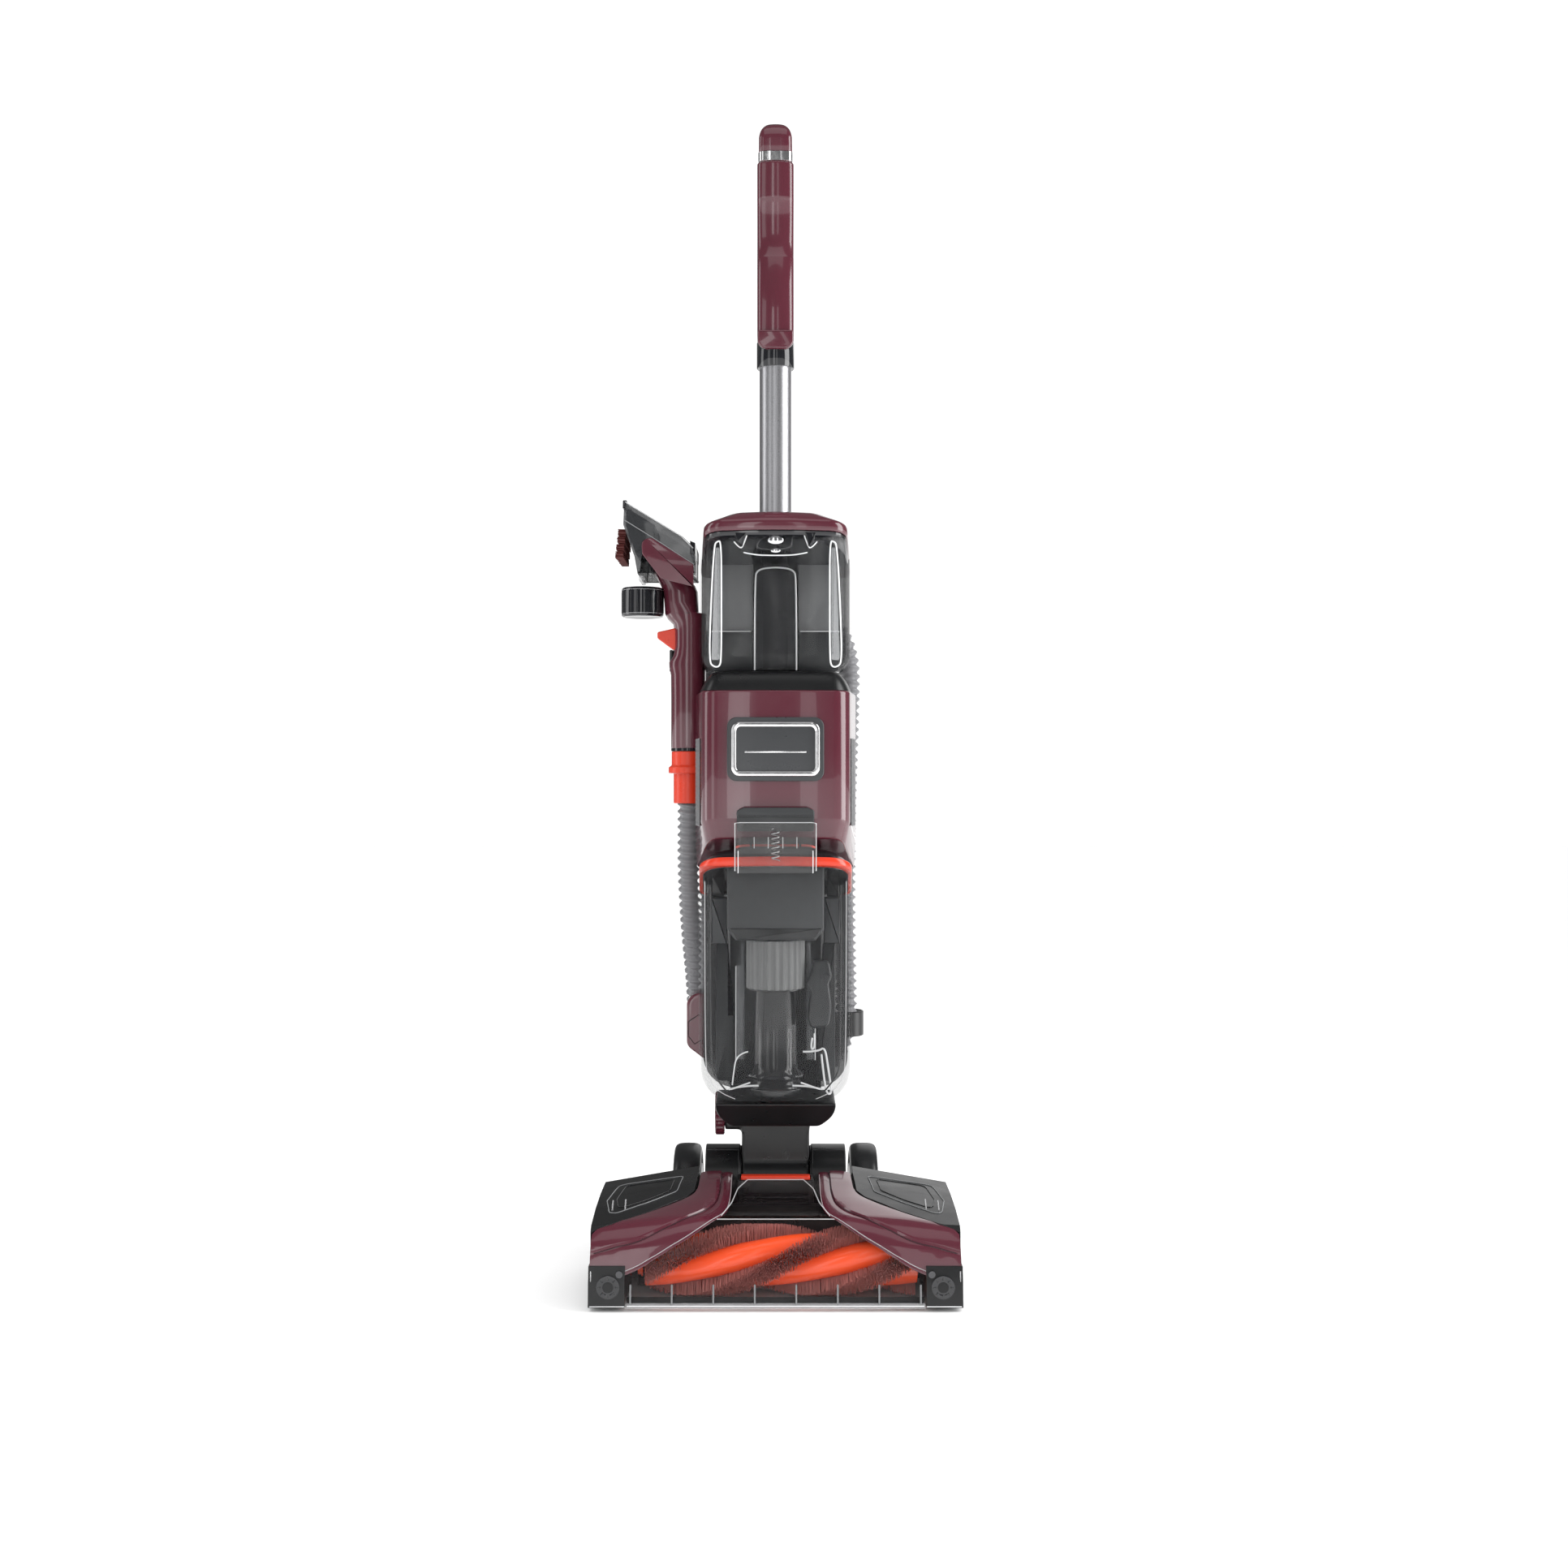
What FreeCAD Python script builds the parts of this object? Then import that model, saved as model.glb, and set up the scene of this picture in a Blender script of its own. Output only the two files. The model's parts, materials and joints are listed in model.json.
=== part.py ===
"""Upright carpet cleaner: a foot with a driven brush under a clear hood, and an upright that reclines on it.

The upright carries the suction motor, a dirty-water tank below it, a clean-water tank above it, a loop
handle and a hand tool on a corrugated hose. +Z is up, the front faces -Y, and the origin lies on the floor
under the middle of the machine. All lengths are in millimetres.
"""

import FreeCAD, Part
import Sketcher
import math
import os

from FreeCAD import Placement, Rotation, Vector

DRIVING_DIMENSIONS = {
    # shared fits and walls
    "shell_wall": 3,
    "body_gap": 0.4,
    "shaft_play": 0.05,
    # foot
    "foot_half_width": 169,
    "foot_front": -150,
    "foot_rear": 18,
    "hood_skin": 2.2,
    "hood_edge_height": 3,
    "deck_side_height": 80,
    "deck_mid_height": 97,
    "chassis_floor": 8,
    "chassis_top": 26,
    "chassis_half_width": 156,
    "cap_inner": 136,
    "cap_top": 40,
    "cap_rear": -66,
    # brush drive
    "brush_back": -105,
    "brush_height": 36,
    "brush_half_length": 134,
    "bristle_reach": 32,
    "core_radius": 17,
    "brush_shaft_radius": 5,
    "brush_pulley_radius": 13.5,
    "motor_pulley_radius": 8,
    "brush_motor_back": -35,
    "brush_motor_height": 47.2,
    "brush_motor_radius": 21,
    "pulley_outer": -133,
    "pulley_width": 7,
    "belt_thickness": 2,
    # recline pivot and wheels
    "pivot_back": 35,
    "pivot_height": 80,
    "pivot_pin_radius": 8,
    "neck_barrel_radius": 30,
    "neck_half_width": 33.5,
    "yoke_inner": 35.4,
    "yoke_outer": 69.6,
    "yoke_radius": 34,
    "wheel_radius": 51,
    "wheel_width": 28.6,
    "wheel_inner": 76,
    "wheel_back": 99,
    "axle_radius": 6,
    # upright
    "spine_half_width": 45,
    "spine_front": 12,
    "spine_rear": 58,
    "spine_floor": 150,
    "spine_top": 694,
    "body_front": -80,
    "dirty_tank_floor": 173.6,
    "dirty_tank_half_front": 72,
    "dirty_tank_half_rear": 75,
    "dirty_tank_rear": 8,
    "rim_front_height": 408.2,
    "rim_slope": 21,
    "gasket_height": 8.4,
    "housing_edge_height": 421,
    "housing_top": 563.5,
    "housing_half_front": 69,
    "housing_half_rear": 79.5,
    "ring_top": 582,
    "clean_tank_floor": 582.4,
    "clean_tank_top": 711.4,
    "clean_tank_half_front": 68,
    "clean_tank_half_rear": 75.6,
    "top_hood_floor": 713,
    "top_hood_height": 31,
    "top_hood_slope": 12,
    "motor_radius": 38,
    "motor_back": -32,
    # handle
    "tube_radius": 16,
    "tube_back": 40,
    "tube_top": 897,
    "collar_radius": 18.75,
    "handle_floor": 919,
    "handle_half_width": 18.3,
    "band_floor": 1096.6,
    "cap_floor": 1106.4,
    "machine_top": 1139,
    # hand tool and hose
    "tool_side": -87,
    "tool_back": 32,
    "tool_grip_radius": 17,
    "tool_grip_floor": 508,
    "tool_grip_top": 649,
    "coupling_floor": 456,
    "hose_radius": 11.5,
    "port_back": 28,
    "port_side": -66,
    "port_top": 268,
}

doc = FreeCAD.newDocument("carpet_cleaner")
sheet = doc.addObject("Spreadsheet::Sheet", "Sizes")
sub_parts = []


class Size:
    """A length together with the spreadsheet expression that it comes from."""

    def __init__(self, value, text):
        self.value = value
        self.text = text

    def join(self, other, sign, value):
        return Size(value, f"({self.text} {sign} {as_size(other).text})")

    def __add__(self, other):
        return self.join(other, "+", self.value + as_size(other).value)

    def __sub__(self, other):
        return self.join(other, "-", self.value - as_size(other).value)

    def __mul__(self, other):
        return self.join(other, "*", self.value * as_size(other).value)

    def __truediv__(self, other):
        return self.join(other, "/", self.value / as_size(other).value)

    def __radd__(self, other):
        return as_size(other) + self

    def __rsub__(self, other):
        return as_size(other) - self

    def __rmul__(self, other):
        return as_size(other) * self

    def __neg__(self):
        return as_size(0) - self


def as_size(number):
    """A Size as it is, or a plain number as a Size."""
    return number if isinstance(number, Size) else Size(float(number), f"{float(number):.4f}")


def fill_sheet():
    """Writes the driving dimensions to the sheet, one row each, and returns them as Sizes by name."""
    for row, (name, value) in enumerate(DRIVING_DIMENSIONS.items(), start=1):
        sheet.set(f"A{row}", name)
        sheet.set(f"B{row}", str(value))
        sheet.setAlias(f"B{row}", name)
    doc.recompute()
    return {name: Size(float(value), f"Sizes.{name}") for name, value in DRIVING_DIMENSIONS.items()}


class Sizes:
    """The driving dimensions as attributes."""

    def __init__(self, table):
        self.__dict__.update(table)


D = Sizes(fill_sheet())
ORIGIN = Vector(0, 0, 0)
X_AXIS = Vector(1, 0, 0)
Y_AXIS = Vector(0, 1, 0)
Z_AXIS = Vector(0, 0, 1)
ALONG_X = Rotation(Y_AXIS, 90)
ALONG_Y = Rotation(X_AXIS, -90)
UPRIGHT = Rotation()


# ---- building blocks -------------------------------------------------------------------------------

def bind(item, prop, size):
    """Ties one property of an object to the sheet."""
    item.setExpression(prop, as_size(size).text)


def place(item, x=0, y=0, z=0, turn=UPRIGHT):
    """Turns an object about its own origin and moves it, with the move tied to the sheet."""
    item.Placement = Placement(ORIGIN, turn)
    bind(item, "Placement.Base.x", x)
    bind(item, "Placement.Base.y", y)
    bind(item, "Placement.Base.z", z)
    return item


def keep(item):
    """Marks an object as a finished sub-part, which is written to a file of its own."""
    sub_parts.append(item)
    return item


def add(kind, name):
    item = doc.addObject(kind, name)
    item.Label = name
    return item


def body(name):
    return add("PartDesign::Body", name)


def new_sketch(owner, role, offset):
    """A sketch parallel to one origin plane; offset runs along +X, +Y or +Z."""
    sketch = owner.newObject("Sketcher::SketchObject", "outline")
    base_plane = next(f for f in owner.Origin.OriginFeatures if f.Role == role)
    sketch.AttachmentSupport = [(base_plane, "")]
    sketch.MapMode = "FlatFace"
    bind(sketch, "AttachmentOffset.Base.z", -as_size(offset) if role == "XZ_Plane" else offset)
    return sketch


def hold_point(sketch, line, x, y):
    """Holds the start of a line at its distances from the sketch's origin."""
    for kind, size, axis in (("DistanceX", x, -2), ("DistanceY", y, -1)):
        if abs(size.value) < 1e-9:
            sketch.addConstraint(Sketcher.Constraint("PointOnObject", line, 1, axis))
        else:
            index = sketch.addConstraint(Sketcher.Constraint(kind, -1, 1, line, 1, size.value))
            if "Sizes." in size.text:
                sketch.setExpression(f"Constraints[{index}]", size.text)


def draw(sketch, corners):
    """Draws a closed outline through the corners, each (x, y) or (x, y, rounding radius)."""
    points = [(as_size(corner[0]), as_size(corner[1])) for corner in corners]
    count = len(points)
    vectors = [Vector(x.value, y.value, 0) for x, y in points]
    for i in range(count):
        sketch.addGeometry(Part.LineSegment(vectors[i], vectors[(i + 1) % count]))
    for i in range(count):
        sketch.addConstraint(Sketcher.Constraint("Coincident", i, 2, (i + 1) % count, 1))
    for i, (x, y) in enumerate(points):
        hold_point(sketch, i, x, y)


def seen_along(role, point):
    """The two coordinates of a point in the sketch axes of an origin plane."""
    if role == "XY_Plane":
        return point.x, point.y
    if role == "XZ_Plane":
        return point.x, point.z
    return point.y, point.z


def edges_at(shape, role, x, y):
    """Names of the straight edges that stand on one corner of an outline."""
    names = []
    for index, edge in enumerate(shape.Edges, start=1):
        ends = [seen_along(role, vertex.Point) for vertex in edge.Vertexes]
        if len(ends) == 2 and all(math.hypot(end[0] - x, end[1] - y) < 1e-3 for end in ends):
            names.append(f"Edge{index}")
    return names


def round_edges(owner, feature, groups):
    """One fillet for each radius in groups, a dictionary of radius to a function that names edges."""
    for radius, find in groups.items():
        fillet = owner.newObject("PartDesign::Fillet", "rounding")
        fillet.Base = (feature, find(feature.Shape))
        fillet.Radius = radius
        doc.recompute()
        feature = fillet
    return feature


def round_corners(owner, feature, role, corners):
    """Rounds the corners that give a radius."""
    radii = {}
    for corner in corners:
        if len(corner) == 3:
            radii.setdefault(corner[2], []).append((as_size(corner[0]).value, as_size(corner[1]).value))

    def finder(places):
        return lambda shape: [name for x, y in places for name in edges_at(shape, role, x, y)]

    return round_edges(owner, feature, {radius: finder(places) for radius, places in radii.items()})


def pad(owner, role, start, end, corners):
    """Adds material between two planes, start below end."""
    sketch = new_sketch(owner, role, end if role == "XZ_Plane" else start)
    draw(sketch, corners)
    feature = owner.newObject("PartDesign::Pad", "pad")
    feature.Profile = sketch
    bind(feature, "Length", as_size(end) - start)
    doc.recompute()
    return round_corners(owner, feature, role, corners)


def pocket(owner, role, start, end, corners):
    """Takes material away between two planes, and checks that it did."""
    before = owner.Tip.Shape.Volume
    sketch = new_sketch(owner, role, start if role == "XZ_Plane" else end)
    draw(sketch, corners)
    feature = owner.newObject("PartDesign::Pocket", "pocket")
    feature.Profile = sketch
    bind(feature, "Length", as_size(end) - start)
    doc.recompute()
    if not feature.Shape.Volume < before - 1e-6:
        raise RuntimeError(f"{owner.Label}: a pocket cuts nothing")
    return feature


def loft(owner, role, sections, kind="Additive"):
    """Joins or cuts a solid through outlines at several heights, each (height, corners)."""
    sketches = []
    for height, corners in sections:
        sketch = new_sketch(owner, role, height)
        draw(sketch, corners)
        sketches.append(sketch)
    feature = owner.newObject(f"PartDesign::{kind}Loft", "loft")
    feature.Profile = sketches[0]
    feature.Sections = sketches[1:]
    feature.Ruled = True
    doc.recompute()
    return feature


def prism(name, role, start, end, corners):
    item = body(name)
    pad(item, role, start, end, corners)
    return item


def turned(name, corners):
    """A body turned about its own Z axis from an outline of (radius, height) corners."""
    item = body(name)
    sketch = new_sketch(item, "XZ_Plane", 0)
    draw(sketch, corners)
    feature = item.newObject("PartDesign::Revolution", "turning")
    feature.Profile = sketch
    feature.ReferenceAxis = (sketch, ["V_Axis"])
    feature.Angle = 360
    doc.recompute()
    rims = {}
    for corner in corners:
        if len(corner) == 3:
            rims.setdefault(corner[2], []).append((as_size(corner[0]).value, as_size(corner[1]).value))

    def finder(places):
        def find(shape):
            names = []
            for index, edge in enumerate(shape.Edges, start=1):
                if hasattr(edge.Curve, "Radius") and len(edge.Vertexes) == 1:
                    at = (edge.Curve.Radius, edge.Curve.Center.z)
                    if any(math.dist(at, corner) < 1e-3 for corner in places):
                        names.append(f"Edge{index}")
            return names
        return find

    round_edges(item, feature, {radius: finder(places) for radius, places in rims.items()})
    return item


def box(name, low, high):
    item = add("Part::Box", name)
    for side, start, end in zip(("Length", "Width", "Height"), low, high):
        bind(item, side, as_size(end) - start)
    return place(item, *low)


def cylinder(name, radius, length, x, y, z, turn=UPRIGHT):
    item = add("Part::Cylinder", name)
    bind(item, "Radius", radius)
    bind(item, "Height", length)
    return place(item, x, y, z, turn)


def cut(name, base, tool):
    item = add("Part::Cut", name)
    item.Base = base
    item.Tool = tool
    doc.recompute()
    if not item.Shape.Volume < base.Shape.Volume - 1e-6:
        raise RuntimeError(f"{name}: a cut removes nothing")
    return item


def fuse(name, *shapes):
    item = add("Part::MultiFuse", name)
    item.Shapes = list(shapes)
    return item


def common(name, *shapes):
    item = add("Part::MultiCommon", name)
    item.Shapes = list(shapes)
    return item


def group(name, *shapes):
    """Separate solids that share one node."""
    item = add("Part::Compound", name)
    item.Links = list(shapes)
    return item


def mirrored(corners, side):
    """The outline on the left (-1) or the right (1) of the machine, given on the right."""
    if side > 0:
        return corners
    return [(-as_size(corner[0]), *corner[1:]) for corner in reversed(corners)]


# ---- foot ------------------------------------------------------------------------------------------

def side_profile(inset, crown, rear, floor):
    """Outline (back, height) of the hood seen from the side, moved inwards by inset.

    crown is how far the middle of the deck stands above its outer edge.
    """
    front = D.foot_front
    deck = D.deck_side_height
    return [
        (front + inset, floor),
        (front + 2 + inset, 25),
        (front + 7 + inset, 45),
        (front + 16 + inset * 0.8, 60 - inset * 0.5),
        (front + 30 + inset * 0.4, deck - 9 + crown * 0.3 - inset * 0.9),
        (front + 70, deck - 3 + crown * 0.4 - inset),
        (front + 120, deck + crown * 0.7 - inset),
        (rear, deck + crown - inset),
        (rear, floor),
    ]


def hood_solid(name, inset, rear, floor):
    """The space under the hood's surface, crowned in the middle, moved inwards by inset."""
    crown = D.deck_mid_height - D.deck_side_height
    half = D.foot_half_width - inset
    middle = D.yoke_outer
    item = body(name)
    sections = ((-half, 0), (-middle, crown), (middle, crown), (half, 0))
    loft(item, "YZ_Plane", [(x, side_profile(inset, rise, rear, floor)) for x, rise in sections])
    return item


def foot_shells():
    """The clear window, the two coloured wings, the black deck and the end caps, all on one surface."""
    skin = D.hood_skin
    outer = hood_solid("hood_outer_surface", as_size(0), D.foot_rear, D.hood_edge_height)
    middle = hood_solid("hood_middle_surface", skin, D.foot_rear + 1, D.hood_edge_height - 1)
    inner = hood_solid("hood_inner_surface", skin * 2, D.foot_rear + 2, D.hood_edge_height - 2)
    top_layer = cut("hood_top_layer", outer, middle)
    low_layer = cut("hood_low_layer", common("hood_low_space", outer, middle), inner)
    wing_outlines = []
    deck_outlines = []
    window_cuts = []
    for side in (-1, 1):
        word = "left" if side < 0 else "right"
        wing = [
            (42, -4), (42, -81), (48.5, -108), (60, -124), (90, -135), (135, -143), (148, -147),
            (148, -153), (172, -153), (172, -128), (149, -120), (113, -95), (82, -67), (74.7, -53), (73, -4),
        ]
        wing_outlines.append(
            prism(f"wing_outline_{word}", "XY_Plane", D.cap_top + 0.5, 120, mirrored(wing, side)))
        deck = [(75.5, -3), (77, -52), (84, -65.5), (115, -93.5), (150, -118.5), (172, -126.5), (172, 20),
                (75.5, 20)]
        deck_outlines.append(prism(f"deck_outline_{word}", "XY_Plane", 0, 120, mirrored(deck, side)))
        corner = [(D.cap_inner - 0.5, -151), (170, -151), (170, D.cap_rear + 0.5),
                  (D.cap_inner - 0.5, D.cap_rear + 0.5)]
        window_cuts.append(
            prism(f"cap_room_{word}", "XY_Plane", 0, D.cap_top + 0.5, mirrored(corner, side)))
    keep(common("hood_wings", top_layer, group("wing_outlines", *wing_outlines)))
    deck_space = group("deck_outlines", *deck_outlines)
    notch = box("yoke_room", (-75, -4, 0), (75, 22, 120))
    cap_rooms = group("cap_rooms", *window_cuts)
    keep(cut("deck_cover", common("deck_layer", cut("deck_thick", outer, inner), deck_space), cap_rooms))
    clear = cut("window_blank", low_layer, fuse("window_limits", deck_space, notch, cap_rooms))
    slot = box("release_bar_room", (-38, -24, 60), (38, 0, 120))
    keep(cut("hood_window", clear, slot))
    end_caps(outer)


def end_caps(surface):
    """The two blocks at the ends of the brush, which hold its bearings."""
    caps = []
    screws = []
    for side in (-1, 1):
        word = "left" if side < 0 else "right"
        space = [(D.cap_inner, -151), (170, -151), (170, D.cap_rear), (D.cap_inner, D.cap_rear)]
        block = prism(f"cap_block_{word}", "XY_Plane", 4, D.cap_top, mirrored(space, side))
        solid = common(f"cap_solid_{word}", surface, block)
        start = D.cap_inner - 1 if side > 0 else -D.cap_inner - 10
        bore = cylinder(f"cap_bore_{word}", D.brush_shaft_radius + D.shaft_play, 11,
                        start, D.brush_back, D.brush_height, ALONG_X)
        screw = cylinder(f"screw_{word}", 3.2, 2.5, 141 * side, D.foot_front + 3, 33, ALONG_Y)
        caps.append(cut(f"cap_{word}", solid, fuse(f"cap_holes_{word}", bore, screw)))
        screws.append(screw)
    keep(group("end_cap_screws", *screws))
    return keep(group("end_caps", *caps))


def hood_frame():
    """The dark frame at the back of the hood, with louvres below and a channel for the release bar."""
    item = prism("hood_frame", "YZ_Plane", -37, 37, [(-23, 62), (-5, 62), (-5, 93), (-23, 90.5)])
    pocket(item, "XY_Plane", 84, 96, [(-34, -20), (34, -20), (34, -9), (-34, -9)])
    for step in range(3):
        floor = 64 + 5.5 * step
        pocket(item, "XZ_Plane", -24, -19, [(-32, floor), (32, floor), (32, floor + 2.5), (-32, floor + 2.5)])
    return keep(item)


def hood_release():
    """The coloured bar that is pressed to free the hood."""
    bar = [(-33.5, -19.5, 1.5), (33.5, -19.5, 1.5), (33.5, -9.5, 1.5), (-33.5, -9.5, 1.5)]
    return keep(prism("hood_release_bar", "XY_Plane", 87.3, 94, bar))


def spray_bar():
    """The pipe inside the hood that wets the carpet ahead of the brush."""
    pipe = cylinder("spray_pipe", 3, 150, -75, -76, 70, ALONG_X)
    nozzles = [cylinder(f"spray_nozzle_{i}", 1.6, 6, -60 + 40 * i, -76, 63) for i in range(4)]
    return keep(fuse("spray_bar", pipe, *nozzles))


def chassis():
    """The floor of the foot: a plate behind the brush, wheel arms, skids and the rear wall of the deck."""
    item = body("chassis_plate")
    half = D.chassis_half_width
    plate = [(-half, D.cap_rear), (half, D.cap_rear), (half, 14), (73.5, 30), (73.5, 72), (-73.5, 72),
             (-73.5, 30), (-half, 14)]
    pad(item, "XY_Plane", D.chassis_floor, D.chassis_top, plate)
    for side in (-1, 1):
        skid = [(85, -62), (115, -62), (115, -30), (85, -30)]
        pad(item, "XY_Plane", 0, D.chassis_floor + 1, mirrored(skid, side))
        rear_wall = [(76, 9), (half - 1, 9), (half - 1, 13), (76, 13)]
        pad(item, "XY_Plane", D.chassis_top - 1, 74, mirrored(rear_wall, side))
        arm = [(30, 20), (70, 20), (112, 40), (112, 62), (72, 76), (30, 76)]
        low, high = (58, 73.5) if side > 0 else (-73.5, -58)
        pad(item, "YZ_Plane", low, high, arm)
    arms = cut("chassis_with_bores", item, cylinder(
        "axle_bores", D.axle_radius, 150, -75, D.wheel_back, D.wheel_radius, ALONG_X))
    yoke_space = box("yoke_space", (-69.7, 1, D.chassis_top), (69.7, 69, 120))
    return keep(cut("chassis_base", arms, yoke_space))


def yokes():
    """The two cheeks that carry the recline pins."""
    cheeks = []
    for side in (-1, 1):
        low = D.yoke_inner if side > 0 else -D.yoke_outer
        width = D.yoke_outer - D.yoke_inner
        foot = box(f"cheek_foot_{side + 1}", (low, D.pivot_back - D.yoke_radius, D.chassis_top),
                   (low + width, D.pivot_back + D.yoke_radius, D.pivot_height))
        top = cylinder(f"cheek_top_{side + 1}", D.yoke_radius, width, low, D.pivot_back, D.pivot_height,
                       ALONG_X)
        bore = cylinder(f"cheek_bore_{side + 1}", D.pivot_pin_radius, 27,
                        35 if side > 0 else -62, D.pivot_back, D.pivot_height, ALONG_X)
        cheeks.append(cut(f"cheek_{side + 1}", fuse(f"cheek_blank_{side + 1}", foot, top), bore))
    return keep(group("yokes", *cheeks))


def axle_pins():
    """Recline pins in the yokes and stub axles for the wheels, each axle with a retaining head."""
    pins = []
    for side in (-1, 1):
        pins.append(cylinder(f"recline_pin_{side + 1}", D.pivot_pin_radius, 42,
                             20 if side > 0 else -62, D.pivot_back, D.pivot_height, ALONG_X))
        shank = cylinder(f"axle_shank_{side + 1}", D.axle_radius, 47.4,
                         58 if side > 0 else -105.4, D.wheel_back, D.wheel_radius, ALONG_X)
        head = cylinder(f"axle_head_{side + 1}", 9, 2.4, 105 if side > 0 else -107.4,
                        D.wheel_back, D.wheel_radius, ALONG_X)
        pins.append(fuse(f"stub_axle_{side + 1}", shank, head))
    return keep(group("axle_pins", *pins))


def wheels():
    """Two wide wheels with rounded treads, each free on its stub axle."""
    for side in (-1, 1):
        bore = D.axle_radius + D.shaft_play
        tread = D.wheel_radius
        wide = D.wheel_width
        item = turned("wheel_left" if side < 0 else "wheel_right",
                      [(bore, 0), (tread, 0, 9), (tread, wide, 9), (bore, wide)])
        inner = D.wheel_inner if side > 0 else -D.wheel_inner - wide
        keep(place(item, inner, D.wheel_back, D.wheel_radius, ALONG_X))


def brush():
    """The brush core with its shaft ends and pulley, and the rows of bristles set in the core."""
    shaft = D.brush_shaft_radius
    half = D.brush_half_length
    core = D.core_radius
    flange = D.brush_pulley_radius + 2
    outer = D.pulley_outer
    outline = [
        (0, -half - 8), (shaft, -half - 8), (shaft, -half), (flange, -half), (flange, outer),
        (D.brush_pulley_radius, outer), (D.brush_pulley_radius, outer + D.pulley_width),
        (flange, outer + D.pulley_width), (flange, outer + D.pulley_width + 1.5),
        (10, outer + D.pulley_width + 1.5), (10, -122), (core, -122), (core, half), (shaft, half),
        (shaft, half + 8), (0, half + 8),
    ]
    keep(place(turned("brush_core", outline), 0, D.brush_back, D.brush_height, ALONG_X))
    rows = []
    for i in range(6):
        row = box(f"bristle_row_{i}", (-120, -2.5, core), (130, 2.5, D.bristle_reach))
        turn = Rotation(X_AXIS, 60 * i)
        start = turn.multVec(Vector(0, -2.5, core.value))
        place(row, -120, D.brush_back + start.y, D.brush_height + start.z, turn)
        rows.append(row)
    keep(group("brush_bristles", *rows))


def brush_drive():
    """The brush motor with its shaft, its pulley, and the belt to the brush."""
    can = cylinder("motor_can", D.brush_motor_radius, 72, -112, D.brush_motor_back, D.brush_motor_height,
                   ALONG_X)
    shaft = cylinder("motor_shaft", 3, 24, -135, D.brush_motor_back, D.brush_motor_height, ALONG_X)
    keep(fuse("brush_motor", can, shaft))
    radius = D.motor_pulley_radius
    wide = D.pulley_width
    bore = 3 + D.shaft_play
    outline = [(bore, -1.5), (radius + 2, -1.5), (radius + 2, 0), (radius, 0), (radius, wide),
               (radius + 2, wide), (radius + 2, wide + 1.5), (bore, wide + 1.5)]
    keep(place(turned("motor_pulley", outline), D.pulley_outer, D.brush_motor_back, D.brush_motor_height,
               ALONG_X))
    keep(drive_belt())


def belt_loop(gap):
    """Closed path round both pulleys at a distance gap from them, at the belt's outer edge."""
    x = D.pulley_outer.value + 0.5
    big = D.brush_pulley_radius.value + gap
    small = D.motor_pulley_radius.value + gap
    start = Vector(x, D.brush_back.value, D.brush_height.value)
    end = Vector(x, D.brush_motor_back.value, D.brush_motor_height.value)
    along = (end - start).normalize()
    across = X_AXIS.cross(along)
    lean = (big - small) / (end - start).Length
    rise = math.sqrt(1 - lean * lean)
    upper = along * lean + across * rise
    lower = along * lean - across * rise
    return Part.Wire([
        Part.Arc(start + lower * big, start - along * big, start + upper * big).toShape(),
        Part.LineSegment(start + upper * big, end + upper * small).toShape(),
        Part.Arc(end + upper * small, end + along * small, end + lower * small).toShape(),
        Part.LineSegment(end + lower * small, start + lower * big).toShape(),
    ])


def drive_belt():
    """The belt: the space between two loops round the pulleys."""
    inside = 0.3
    outside = inside + D.belt_thickness.value
    width = Vector(D.pulley_width.value - 1, 0, 0)
    rings = [Part.Face(belt_loop(gap)).extrude(width) for gap in (outside, inside)]
    item = add("Part::Feature", "drive_belt")
    item.Shape = rings[0].cut(rings[1])
    return item


def squeegee():
    """The rubber strip behind the brush."""
    return keep(box("squeegee", (-130, D.cap_rear - 3, 2), (130, D.cap_rear, D.chassis_top - 2)))


# ---- upright ---------------------------------------------------------------------------------------

def neck():
    """The barrel on the recline pins, the neck above it and the block that the mode dial turns on."""
    item = body("neck_arm")
    half = D.neck_half_width
    trunk = [(14, 80), (56, 80), (58, 130), (58, D.spine_floor), (12, D.spine_floor), (12, 130)]
    pad(item, "YZ_Plane", -half, half, trunk)
    barrel = cylinder("neck_barrel", D.neck_barrel_radius, half * 2, -half, D.pivot_back, D.pivot_height,
                      ALONG_X)
    dial_block = box("dial_block", (-49.6, 17, 132), (-half, 43, D.spine_floor))
    bore = cylinder("neck_bore", D.pivot_pin_radius + D.shaft_play, 80, -40, D.pivot_back, D.pivot_height,
                    ALONG_X)
    return keep(cut("neck", fuse("neck_blank", item, barrel, dial_block, tank_cradle()), bore))


def mode_dial():
    """The knurled dial that turns the flow between the floor nozzle and the hose."""
    item = turned("mode_dial", [(0, 0), (21.5, 0, 1.5), (21.5, 9.6, 1.5), (0, 9.6)])
    return keep(place(item, -60, 30, 146.5, ALONG_X))


def tank_cradle():
    """The dished seat that the dirty tank stands on."""
    item = body("tank_cradle")
    low = [(-41, -50), (41, -50), (41, 12), (-41, 12)]
    high = [(-58, -70), (58, -70), (58, 12), (-58, 12)]
    loft(item, "XY_Plane", [(D.spine_floor - 2, low), (D.dirty_tank_floor - D.body_gap, high)])
    return item


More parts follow.
